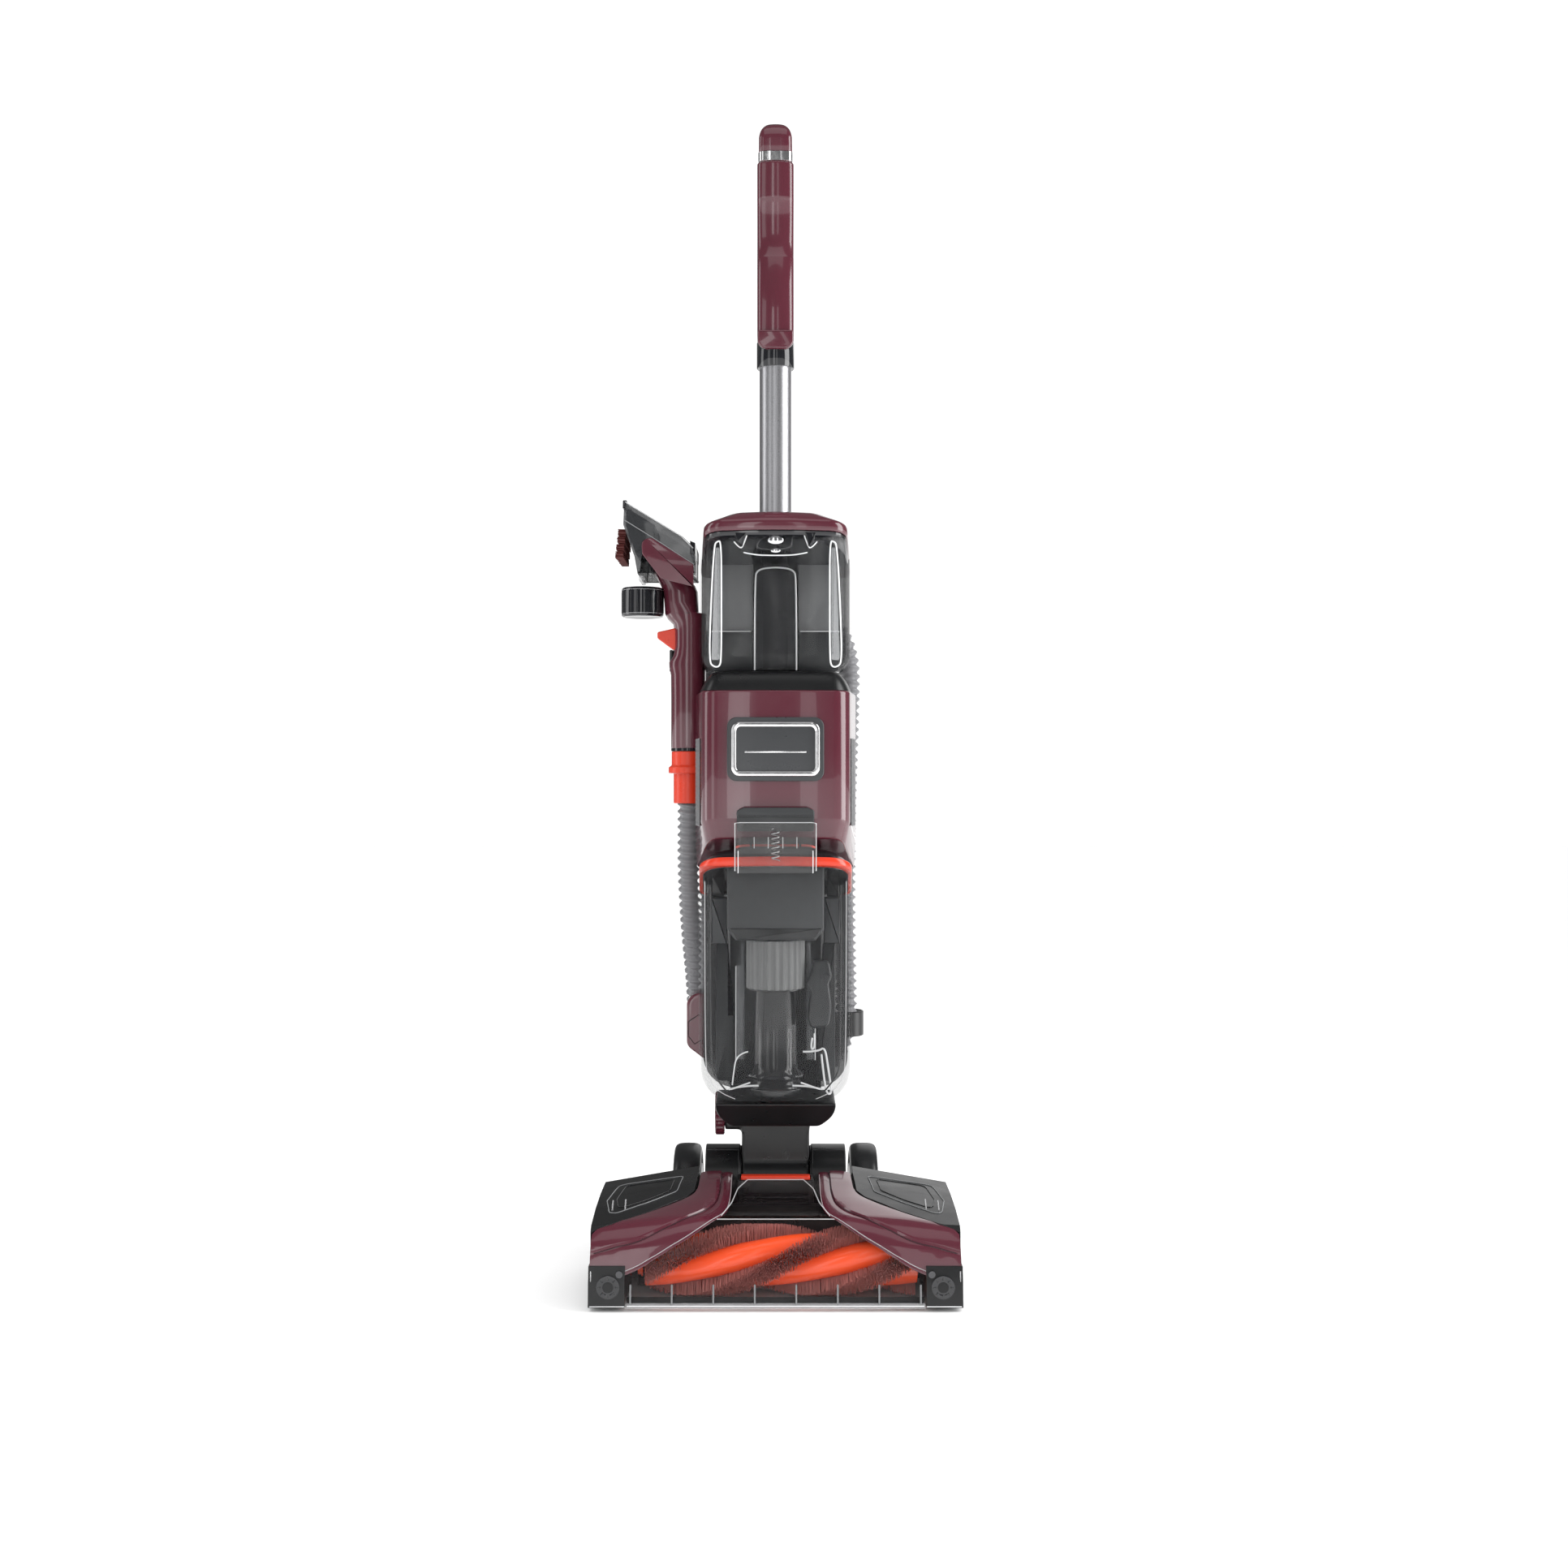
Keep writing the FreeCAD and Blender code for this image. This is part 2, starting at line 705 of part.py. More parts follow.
def spine():
    """The hollow back column that joins the neck, the housing, both tanks and the handle tube."""
    item = body("spine_shell")
    half = D.spine_half_width
    wall = D.shell_wall
    front = D.spine_front
    rear = D.spine_rear
    pad(item, "XY_Plane", D.spine_floor, D.spine_top, [(-half, front), (half, front), (half, rear, 12),
                                                       (-half, rear, 12)])
    inside = half - wall
    pocket(item, "XY_Plane", D.spine_floor + wall, D.spine_top - wall * 3,
           [(-inside, front + wall), (inside, front + wall), (inside, rear - wall * 2),
            (-inside, rear - wall * 2)])
    pocket(item, "XZ_Plane", rear - 5.5, rear, [(-13, 551), (13, 551), (13, 579), (-13, 579)])
    column = box("spine_column", (-12.3, -15, D.clean_tank_floor + 0.2), (12.3, front, 690))
    socket = cylinder("tube_socket", D.tube_radius, 40, 0, D.tube_back, D.spine_top - 30)
    gland = cylinder("cord_gland", 7, 12, 0, rear, 250, ALONG_Y)
    return keep(cut("spine", fuse("spine_blank", item, column, gland), socket))


def motor_housing():
    """The glossy shell round the suction motor, open at the back where it meets the spine."""
    item = body("motor_housing")
    front = D.body_front
    narrow = D.housing_half_front
    wide = D.housing_half_rear
    wall = D.shell_wall
    rear = D.spine_front - 0.4
    plan = [(-narrow, front, 14), (narrow, front, 14), (wide, 0, 6), (wide, rear), (-wide, rear),
            (-wide, 0, 6)]
    pad(item, "XY_Plane", 380, D.housing_top, plan)
    low = D.housing_edge_height
    slope = math.tan(math.radians(D.rim_slope.value))
    under = [(front - 1, low), (rear + 1, low - (rear + 1 - front) * slope), (rear + 1, 370),
             (front - 1, 370)]
    pocket(item, "YZ_Plane", -90, 90, under)
    pocket(item, "YZ_Plane", -90, 90, [(front - 1, low - 2), (front + 13, low - 2), (front - 1, 440)])
    inner = [(-narrow + wall, front + wall), (narrow - wall, front + wall), (wide - wall, 0),
             (wide - wall, rear + 1), (-wide + wall, rear + 1), (-wide + wall, 0)]
    pocket(item, "XY_Plane", 436, D.housing_top - wall, inner)
    dome_room = [(-narrow + 5, front + 6), (narrow - 5, front + 6), (wide - 5, 0), (wide - 5, rear + 1),
                 (-wide + 5, rear + 1), (-wide + 5, 0)]
    pocket(item, "XY_Plane", 380, 433, dome_room)
    return keep(item)


def side_vents():
    """A slotted plate on each side of the housing."""
    plates = []
    lean = math.degrees(math.atan2(D.housing_half_rear.value - D.housing_half_front.value,
                                   -D.body_front.value))
    for side in (-1, 1):
        item = body(f"vent_plate_{side + 1}")
        pad(item, "YZ_Plane", 0, 1.6, [(-21, -42, 3), (21, -42, 3), (21, 42, 3), (-21, 42, 3)])
        for row in range(9):
            low = -38 + 8.6 * row
            pocket(item, "YZ_Plane", -1, 2, [(-17, low), (17, low), (17, low + 5), (-17, low + 5)])
        middle = -36
        face = D.housing_half_front + (D.housing_half_rear - D.housing_half_front) * ((middle + 80) / 80)
        turn = Rotation(Z_AXIS, -lean if side > 0 else 180 + lean)
        plates.append(place(item, (face + 0.05) * side, middle, 477, turn))
    return keep(group("side_vents", *plates))


def badge():
    """The blank plate on the front of the housing, with a bright frame on it."""
    front = D.body_front
    keep(prism("badge_plate", "XZ_Plane", front - 3, front,
               [(-45.5, 478, 9), (45.5, 478, 9), (45.5, 538, 9), (-45.5, 538, 9)]))
    frame = prism("badge_frame", "XZ_Plane", front - 5, front - 3,
                  [(-41.5, 482.5, 8), (41.5, 482.5, 8), (41.5, 533.5, 8), (-41.5, 533.5, 8)])
    pocket(frame, "XZ_Plane", front - 6, front - 2, [(-36.8, 487.2), (36.8, 487.2), (36.8, 528.8),
                                                     (-36.8, 528.8)])
    keep(frame)


def bevel_ring():
    """The dark ring that narrows from the housing to the clean tank."""
    item = body("bevel_ring")
    low = [(-68.5, -79), (68.5, -79), (76, 11.6), (-76, 11.6)]
    high = [(-55, -66), (55, -66), (62, 11.6), (-62, 11.6)]
    loft(item, "XY_Plane", [(D.housing_top, low), (D.ring_top, high)])
    return keep(item)


def suction_unit():
    """The suction motor, its fan and the spray pump."""
    radius = D.motor_radius
    can = cylinder("suction_can", radius, 82, 0, D.motor_back, 436)
    shaft = cylinder("suction_shaft", 4, 34, 0, D.motor_back, 518)
    keep(fuse("suction_motor", can, shaft))
    hub = [(4 + D.shaft_play, 0), (radius, 0), (radius, 2), (12, 4), (12, 22), (4 + D.shaft_play, 22)]
    fan = place(turned("fan_disc", hub), 0, D.motor_back, 524)
    blades = []
    for i in range(9):
        blade = box(f"fan_blade_{i}", (11, -1, 0), (radius - 1, 1, 14))
        turn = Rotation(Z_AXIS, 40 * i)
        corner = turn.multVec(Vector(11, -1, 0))
        blades.append(place(blade, corner.x, D.motor_back + corner.y, 526, turn))
    keep(fuse("suction_fan", fan, *blades))
    keep(box("spray_pump", (-20, D.spine_front + 3.2, 400), (20, D.spine_rear - 6.2, 450)))


def top_hood():
    """The bevelled cap over the clean tank and the head of the spine, with room for the handle tube."""
    item = body("top_hood_shell")
    rear = 146


    def level(half, back_half, front, back):
        right = [(half, front), (half, back - 50), (back_half, back - 46), (back_half, back)]
        return right + [(-x, y) for x, y in reversed(right)]

    loft(item, "XY_Plane", [(0, level(76.5, 66, 0, rear)), (11, level(75.5, 65, 1, rear)),
                            (D.top_hood_height, level(45, 40, 14, rear - 10))])
    place(item, 0, D.body_front - 4, D.top_hood_floor, Rotation(X_AXIS, -D.top_hood_slope.value))
    room = fuse("hood_room",
                cylinder("tube_hole", D.tube_radius, 120, 0, D.tube_back, 650),
                box("spine_room", (-D.spine_half_width, D.spine_front, 600),
                    (D.spine_half_width, D.spine_rear, D.spine_top)))
    return keep(cut("top_hood", item, room))


def hose_port():
    """The moulding on the left that the hose ends in."""
    item = body("hose_port")
    left = D.port_side - 22
    right = -D.spine_half_width
    pad(item, "XZ_Plane", D.port_back - 17, D.port_back + 17,
        [(left, 216, 10), (-70, 202.5, 6), (right, 202.5), (right, D.port_top - 1), (-60, D.port_top),
         (left, D.port_top, 12)])
    return keep(item)


def hose_holders():
    """The clip low on the right, and the hook at the back that carries the upper bend of the hose."""
    root = box("clip_root", (D.spine_half_width, 44, 219), (60, 62, 244))
    ring = cylinder("clip_ring", 18, 25, 72, 70, 219)
    hollow = cylinder("clip_hollow", D.hose_radius + 3.8, 27, 72, 70, 218)
    mouth = box("clip_mouth", (66, 76, 218), (78, 90, 245))
    clip = cut("hose_clip", fuse("clip_blank", root, ring), fuse("clip_opening", hollow, mouth))
    arm = box("hook_arm", (-16, D.spine_rear, 642), (16, 103, 650.5))
    lip = box("hook_lip", (-16, 98.5, 642), (16, 103, 672))
    return keep(group("clips", clip, fuse("hose_hook", arm, lip), tool_dock()))


def cord_hook():
    """The upper cord hook, which turns down to drop the wound cord."""
    item = turned("cord_hook_stem", [(0, 0), (9, 0), (9, 14), (0, 14)])
    place(item, 0, D.spine_rear + 0.3, 470, ALONG_Y)
    tongue = box("cord_hook_tongue", (-9, D.spine_rear + 14.3, 470), (9, D.spine_rear + 18.3, 506))
    boss = cylinder("cord_hook_boss", 9, 4, 0, D.spine_rear + 14.3, 470, ALONG_Y)
    return keep(fuse("cord_hook", item, tongue, boss))


def power_rocker():
    """The rocker switch in the back of the spine."""
    rear = D.spine_rear
    return keep(prism("power_rocker", "YZ_Plane", -11, 11,
                      [(rear - 2, 554), (rear + 2, 554, 1), (rear + 0.5, 565), (rear + 3, 576, 1),
                       (rear - 2, 576)]))


# ---- handle ----------------------------------------------------------------------------------------

def handle():
    """The tube, its collar, the loop with its rear grip, the bright band, the cap and the spray trigger."""
    tube = cylinder("tube_outer", D.tube_radius, D.tube_top - 664, 0, D.tube_back, 664)
    hollow = cylinder("tube_inner", D.tube_radius - 1.5, D.tube_top - 660, 0, D.tube_back, 662)
    keep(cut("handle_tube", tube, hollow))
    ring = [(D.tube_radius, 0), (D.collar_radius, 0, 1), (D.collar_radius, 27), (D.tube_radius, 27)]
    keep(place(turned("tube_collar", ring), 0, D.tube_back, D.handle_floor - 27))
    item = body("handle_body")
    half = D.handle_half_width
    floor = D.handle_floor
    outline = [
        (22, floor), (68, floor, 10), (146, 1036, 22), (146, 1072, 22), (112, D.band_floor),
        (22, D.band_floor),
    ]
    pad(item, "YZ_Plane", -half, half, outline)
    opening = pocket(item, "YZ_Plane", -half - 1, half + 1,
                     [(50, 984), (76, 984), (118, 1046), (118, 1062), (108, 1071), (50, 1071)])
    edges = [f"Edge{i}" for i, edge in enumerate(opening.Shape.Edges, start=1)
             if len(edge.Vertexes) == 2 and abs(abs(edge.CenterOfMass.x) - half.value) < 1e-3
             and edge.CenterOfMass.z > floor.value + 1 and edge.CenterOfMass.z < D.band_floor.value - 1]
    round_edges(item, opening, {4: lambda shape: edges})
    keep(item)
    keep(prism("handle_band", "XY_Plane", D.band_floor, D.cap_floor,
               [(-17.2, 23), (17.2, 23), (17.2, 110), (-17.2, 110)]))
    cap = body("handle_cap")
    pad(cap, "YZ_Plane", -16.7, 16.7,
        [(24, D.cap_floor), (108, D.cap_floor), (108, 1112), (84, 1132, 12), (60, D.machine_top, 8),
         (34, D.machine_top, 9),
         (24, 1122, 6)])
    keep(cap)
    trigger = [(106, 1060), (113, 1060), (113, 1048), (84, 1004, 3), (77, 1008, 3), (98, 1046)]
    keep(prism("spray_trigger", "YZ_Plane", -9, 9, trigger))


# ---- tanks -----------------------------------------------------------------------------------------

def rim_frame(item, height=0):
    """Puts an object made on the plane of the dirty tank's rim: x across, y back and down the slope."""
    return place(item, 0, D.body_front, D.rim_front_height + height, Rotation(X_AXIS, -D.rim_slope.value))


def tank_section(half, inset, top):
    """Front view of the dirty tank, with its bottom corners cut back in two steps."""
    side = half - inset
    floor = D.dirty_tank_floor + inset
    right = [(side - 24, floor), (side - 8, floor + 12), (side, floor + 46), (side, top)]
    return right + [(-x, z) for x, z in reversed(right)]


def dirty_tank():
    """The clear lower tank, its rim cut on the slope, with a rod on each side of the float."""
    item = body("dirty_tank_shell")
    front = D.body_front
    rear = D.dirty_tank_rear
    wall = D.shell_wall
    loft(item, "XZ_Plane", [(front, tank_section(D.dirty_tank_half_front, 0, 420)),
                            (rear, tank_section(D.dirty_tank_half_rear, 0, 420))])
    loft(item, "XZ_Plane", [(front + wall, tank_section(D.dirty_tank_half_front, wall, 424)),
                            (rear - wall, tank_section(D.dirty_tank_half_rear, wall, 424))], "Subtractive")
    slope = math.tan(math.radians(D.rim_slope.value))
    low = D.rim_front_height - 0.02 - D.gasket_height / math.cos(math.radians(D.rim_slope.value))
    pocket(item, "YZ_Plane", -90, 90, [(front - 1, low + slope), (rear + 1, low - (rear + 1 - front) * slope),
                                       (rear + 1, 430), (front - 1, 430)])
    rods = [cylinder(f"float_rod_{i}", 1.5, 146, 40.5, y, D.dirty_tank_floor + 1)
            for i, y in enumerate((-53.5, -26.5))]
    return keep(fuse("dirty_tank", item, *rods))


def rim_outline(spread):
    """Outline of the tank's rim on the slope, moved outwards by spread."""
    front = D.dirty_tank_half_front + spread
    rear = D.dirty_tank_half_rear + spread
    depth = 93
    edge = 3 - spread
    return [(-front, edge, 12), (front, edge, 12), (rear, depth + spread), (-rear, depth + spread)]


def tank_lid():
    """The gasket on the rim, the domed lid and what hangs below it: separator, filter and float."""
    gasket = prism("tank_gasket", "XY_Plane", -D.gasket_height, 0, rim_outline(as_size(0.6)))
    inner = [corner[:2] for corner in rim_outline(as_size(-3.5))]
    pocket(gasket, "XY_Plane", -D.gasket_height - 1, 1, inner)
    keep(rim_frame(gasket))
    lid = body("tank_lid")
    loft(lid, "XY_Plane", [(0, [(-66, 4), (66, 4), (68, 90), (-68, 90)]),
                           (13, [(-52, 14), (52, 14), (54, 80), (-54, 80)])])
    keep(rim_frame(lid, 0))
    separator = body("separator_box")
    pad(separator, "XY_Plane", -60, 0, [(-46, 30, 4), (46, 30, 4), (46, 78, 4), (-46, 78, 4)])
    pocket(separator, "XY_Plane", -57, 0, [(-43, 33), (43, 33), (43, 75), (-43, 75)])
    rim_frame(separator)
    core = turned("filter_ring", [(18, 279), (28, 279), (28, 323), (18, 323)])
    place(core, 0, -38, 0)
    grooves = [cylinder(f"flute_{i}", 1.6, 46, 28.6 * math.cos(math.radians(20 * i)),
                        -38 + 28.6 * math.sin(math.radians(20 * i)), 278) for i in range(18)]
    keep(group("separator", separator, cut("filter_core", core, fuse("flutes", *grooves))))
    pipe = [(14, 177), (24, 177), (24, 190), (21, 194), (21, 277), (24, 278.6), (14, 278.6)]
    keep(place(turned("standpipe", pipe), 0, -38, 0))
    buoy = turned("float", [(0, 0), (11.5, 0, 3), (11.5, 64, 3), (0, 64)])
    keep(place(buoy, 40.5, -40, 236))


def latch():
    """The bracket on the front of the tank, the button that frees it and the spring below the button."""
    front = D.body_front - 2
    item = prism("latch_bracket", "XZ_Plane", front - 6, front,
                 [(-38.5, 392, 5), (38.5, 392, 5), (38.5, 439.5, 3), (-38.5, 439.5, 3)])
    pocket(item, "XZ_Plane", front - 7, front + 1, [(-37, 429), (37, 429), (37, 441), (-37, 441)])
    pocket(item, "XZ_Plane", front - 7, front + 1, [(-6, 402), (6, 402), (6, 430), (-6, 430)])
    pad(item, "XZ_Plane", front - 1, front + 2, [(-30, 393), (30, 393), (30, 398), (-30, 398)])
    keep(item)
    button = body("latch_button")
    pad(button, "XZ_Plane", front - 8, front, [(-36.4, 440, 2), (36.4, 440, 2), (36.4, 453, 4),
                                               (-36.4, 453, 4)])
    pad(button, "XZ_Plane", front - 5.5, front - 0.5, [(-34, 435), (34, 435), (34, 441), (-34, 441)])
    keep(button)
    keep(latch_spring(front.value - 3))


def latch_spring(back):
    """The coil spring under the latch button."""
    turns_height = 30
    helix = Part.makeHelix(4.5, turns_height, 3.6)
    start = helix.Edges[0].valueAt(helix.Edges[0].FirstParameter)
    ring = Part.Wire(Part.Circle(start, Y_AXIS, 0.6).toShape())
    item = add("Part::Feature", "latch_spring")
    item.Shape = Part.Wire(helix.Edges).makePipeShell([ring], True, True)
    item.Placement = Placement(Vector(0, back, 403.5), UPRIGHT)
    return item


def clean_tank():
    """The clear upper tank with a channel at the back for the spine, and its clips and release button."""
    item = body("clean_tank_shell")
    front = D.body_front + 2
    narrow = D.clean_tank_half_front
    wide = D.clean_tank_half_rear
    rear = 11
    low = D.clean_tank_floor
    plan = [(-narrow, front), (narrow, front), (wide, -10), (wide, rear), (21, rear), (21, -22), (-21, -22),
            (-21, rear), (-wide, rear), (-wide, -10)]
    pad(item, "XY_Plane", low, D.clean_tank_top, plan)
    slope = math.tan(math.radians(D.top_hood_slope.value))
    rear_top = D.clean_tank_top - (rear + 1 - front) * slope
    pocket(item, "YZ_Plane", -90, 90, [(front - 1, D.clean_tank_top), (rear + 1, rear_top),
                                       (rear + 1, 730), (front - 1, 730)])
    pocket(item, "XZ_Plane", front - 1, rear + 1, [(narrow - 8, low - 1), (90, low - 1), (90, low + 22)])
    pocket(item, "XZ_Plane", front - 1, rear + 1, [(-narrow + 8, low - 1), (-90, low + 22), (-90, low - 1)])
    hollow = [(-narrow + 4, front + 4), (narrow - 4, front + 4), (wide - 4, -12), (wide - 4, rear - 4),
              (25, rear - 4),
              (25, -26), (-25, -26), (-25, rear - 4), (-wide + 4, rear - 4), (-wide + 4, -12)]
    inside = body("clean_tank_hollow")
    pad(inside, "XY_Plane", low + 4, 698, hollow)
    pocket(inside, "YZ_Plane", -90, 90, [(front, 698), (rear, 698 - (rear - front) * slope), (rear, 710),
                                         (front, 710)])
    pocket(inside, "XZ_Plane", front, rear, [(narrow - 16, low), (90, low), (90, low + 26)])
    pocket(inside, "XZ_Plane", front, rear, [(-narrow + 16, low), (-90, low + 26), (-90, low)])
    outlet = cylinder("tank_outlet", 8, 12, 0, -55, low - 2)
    button_room = prism("button_room", "XZ_Plane", front - 1, front + 3.2,
                        [(-8.2, 700), (8.2, 700), (8.2, 709.6), (-8.2, 709.6)])
    keep(cut("clean_tank", item, fuse("clean_tank_space", inside, outlet, button_room)))
    clips = []
    for side in (-1, 1):
        clips.append(prism(f"clip_{side + 1}", "XZ_Plane", front - 3.5, front,
                           mirrored([(28, 700, 1.5), (37.5, 700, 1.5), (37.5, 708.5, 1.5), (28, 708.5, 1.5)],
                                    side)))
    keep(group("tank_clips", *clips))
    keep(prism("tank_release_button", "XZ_Plane", front - 2.5, front + 0.3,
               [(-7.6, 700.7, 4), (7.6, 700.7, 4), (7.6, 709, 4), (-7.6, 709, 4)]))


# ---- hand tool and hose ----------------------------------------------------------------------------

def hand_tool():
    """The upholstery tool that stands docked on the left, with its coupling to the hose."""
    side = D.tool_side
    back = D.tool_back
    radius = D.tool_grip_radius
    low = D.tool_grip_floor
    top = D.tool_grip_top
    grip = cylinder("grip_handle", radius, top - low, side, back, low)
    throat = prism("grip_throat", "XZ_Plane", back - 15, back + 15,
                   [(-104, 640), (-70, 640), (-70, 672), (-78.5, 677.5), (-117, 702.5), (-127, 704.5),
                    (-129, 690), (-116, 674.5), (-111, 672), (-110.5, 662)])
    slot = box("trigger_slot", (-105, back - 6, 604), (-91, back + 6, 636))
    keep(cut("tool_grip", fuse("grip_blank", grip, throat), slot))
    keep(prism("tool_head", "XZ_Plane", back - 43, back + 43,
               [(-148, 752, 2), (-91, 717.7, 6), (-79, 706, 6), (-79, 681), (-116, 704.5), (-128, 706.5),
                (-131, 681),
                (-135, 681), (-138, 697.7), (-149, 729, 2)]))
    strip = box("bristle_strip", (-153, back - 38, 726), (-149.2, back + 38, 732))
    rows = [box(f"tool_bristles_{i}", (-157.5 + 0.2 * i, back - 37 + 19 * i, 697),
                (-150, back - 21 + 19 * i, 727)) for i in range(4)]
    keep(fuse("tool_brush", strip, *rows))
    lever = [(-97, 632), (-104.5, 630), (-118, 627, 2), (-118, 621, 2), (-104.5, 611, 3), (-99, 608)]
    keep(prism("tool_trigger", "XZ_Plane", back - 5.5, back + 5.5, lever))
    cap = turned("tool_cap", [(0, 0), (21, 0, 2), (21, 29.5, 2), (0, 29.5)])
    keep(place(cap, -133, back, 642))
    bore = D.hose_radius + 1
    coupling = [(bore, 0), (15, 0, 1), (15, 30), (20, 30), (20, 36), (radius, 38), (radius, 51.9),
                (bore, 51.9)]
    keep(place(turned("tool_coupling", coupling), side, back, D.coupling_floor))


def tool_dock():
    """The clip on the spine that holds the tool by its grip."""
    side = D.tool_side
    back = D.tool_back
    root = box("dock_root", (-64, back - 9, 588), (-D.spine_half_width, back + 9, 610))
    ring = cylinder("dock_ring", D.tool_grip_radius + 4, 22, side, back, 588)
    hollow = cylinder("dock_hollow", D.tool_grip_radius + D.body_gap, 24, side, back, 587)
    half = D.tool_grip_radius + 5
    mouth = box("dock_mouth", (side - half, back - half, 587), (side + half, back - 5, 611))
    return cut("tool_dock", fuse("dock_blank", root, ring), fuse("dock_opening", hollow, mouth))


HOSE_ROUTE = [
    (-87, 32, 498), (-87, 32, 450), (-87.5, 34, 396), (-85, 43, 335), (-80, 62, 275), (-78, 74, 210),
    (-34, 83, 165.7), (29, 83, 165.7), (73, 72, 210), (71.5, 66, 275), (70, 62, 360), (71, 66, 450),
    (75, 74, 545), (76, 82, 622), (33, 84, 665), (-29, 84, 665), (-72, 78, 622), (-71, 70, 556),
    (-65, 64, 470), (-65, 50, 400), (-66, 28, 335), (-66, 28, 268),
]


def hose():
    """The hose as straight runs joined by tangent arcs, from the tool's coupling to the port."""
    points = [Vector(*point) for point in HOSE_ROUTE]
    edges = []
    last = points[0]
    length = 0
    for before, corner, after in zip(points, points[1:], points[2:]):
        toward = (before - corner).normalize()
        away = (after - corner).normalize()
        turn = math.pi - toward.getAngle(away)
        reach = 0.45 * min((corner - before).Length, (after - corner).Length)
        radius = reach / math.tan(turn / 2)
        print(f"hose bend at {tuple(corner)}: turn {math.degrees(turn):.0f} deg, radius {radius:.0f} mm")
        start = corner + toward * reach
        end = corner + away * reach
        middle = corner + (toward + away).normalize() * (radius / math.cos(turn / 2) - radius)
        edges.append(Part.LineSegment(last, start).toShape())
        edges.append(Part.Arc(start, middle, end).toShape())
        last = end
    edges.append(Part.LineSegment(last, points[-1]).toShape())
    path = Part.Wire(edges)
    radius = D.hose_radius.value
    ring = Part.Wire(Part.Circle(points[0], (points[1] - points[0]).normalize(), radius).toShape())
    item = add("Part::Feature", "hose")
    item.Shape = path.makePipeShell([ring], True, False)
    expected = math.pi * radius * radius * path.Length
    part_of_expected = item.Shape.Volume / expected
    print(f"hose length {path.Length:.0f} mm, volume {part_of_expected:.4f} of section times length")
    return keep(item)


# ---- build, check and write ------------------------------------------------------------------------

def build():
    foot_shells()
    hood_frame()
    hood_release()
    spray_bar()
    chassis()
    yokes()
    axle_pins()
    wheels()
    brush()
    brush_drive()
    squeegee()
    neck()
    mode_dial()
    spine()
    motor_housing()
    side_vents()
    badge()
    bevel_ring()
    suction_unit()
    top_hood()
    hose_port()
    hose_holders()
    cord_hook()
    power_rocker()
    handle()
    dirty_tank()
    tank_lid()
    latch()
    clean_tank()
    hand_tool()
    hose()
    doc.recompute()


def write_sub_parts():
    """Checks every object and sub-part, and then writes one file for each sub-part."""
    for item in doc.Objects:
        if "Invalid" in item.State or "Error" in item.State:
            raise RuntimeError(f"{item.Label} failed: {item.State}")
    for item in sub_parts:
        if item.Shape.isNull() or not item.Shape.isValid() or not item.Shape.Solids:
            raise RuntimeError(f"{item.Label} has no sound shape")
    os.makedirs("parts", exist_ok=True)
    for item in sub_parts:
        item.Shape.exportStep(f"parts/{item.Label}.step")
    print(f"{len(sub_parts)} sub-parts written")


build()
write_sub_parts()
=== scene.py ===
import json
import math
import random

import bmesh
import bpy
from mathutils import Matrix, Vector

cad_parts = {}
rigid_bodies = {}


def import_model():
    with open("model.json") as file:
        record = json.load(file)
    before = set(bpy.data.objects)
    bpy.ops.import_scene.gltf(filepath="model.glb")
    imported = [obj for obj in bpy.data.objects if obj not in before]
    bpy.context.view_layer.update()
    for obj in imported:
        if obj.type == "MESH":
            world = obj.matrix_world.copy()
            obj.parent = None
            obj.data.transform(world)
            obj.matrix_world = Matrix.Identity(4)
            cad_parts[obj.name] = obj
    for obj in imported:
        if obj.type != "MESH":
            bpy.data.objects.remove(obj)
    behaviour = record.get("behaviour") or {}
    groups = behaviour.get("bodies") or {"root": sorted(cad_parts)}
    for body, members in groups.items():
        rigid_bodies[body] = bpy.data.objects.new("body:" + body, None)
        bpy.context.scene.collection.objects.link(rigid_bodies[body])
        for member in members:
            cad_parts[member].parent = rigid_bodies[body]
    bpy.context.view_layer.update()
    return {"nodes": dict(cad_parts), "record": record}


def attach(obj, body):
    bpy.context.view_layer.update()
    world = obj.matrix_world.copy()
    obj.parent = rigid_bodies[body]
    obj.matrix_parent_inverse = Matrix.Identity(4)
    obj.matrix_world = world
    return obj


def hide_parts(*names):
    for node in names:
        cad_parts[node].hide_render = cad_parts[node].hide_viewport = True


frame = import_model()

BODIES = frame["record"]["behaviour"]["bodies"]
NODE_BODY = {node: name for name, nodes in BODIES.items() for node in nodes}
SLOTS = {row["node"]: row["material_slot"] for row in frame["record"]["subparts"]}
MM = 0.001
DECK_SIDE = 80
DECK_RISE = 17


# ---- materials -------------------------------------------------------------------------------------

def new_material(name):
    material = bpy.data.materials.new(name)
    material.use_nodes = True
    tree = material.node_tree
    return material, tree, tree.nodes["Principled BSDF"]


def noise(tree, scale, detail=3.0, stretch=(1, 1, 1)):
    place = tree.nodes.new("ShaderNodeTexCoord")
    spread = tree.nodes.new("ShaderNodeMapping")
    spread.inputs["Scale"].default_value = stretch
    tree.links.new(place.outputs["Object"], spread.inputs["Vector"])
    node = tree.nodes.new("ShaderNodeTexNoise")
    node.inputs["Scale"].default_value = scale
    node.inputs["Detail"].default_value = detail
    tree.links.new(spread.outputs["Vector"], node.inputs["Vector"])
    return node.outputs["Fac"]


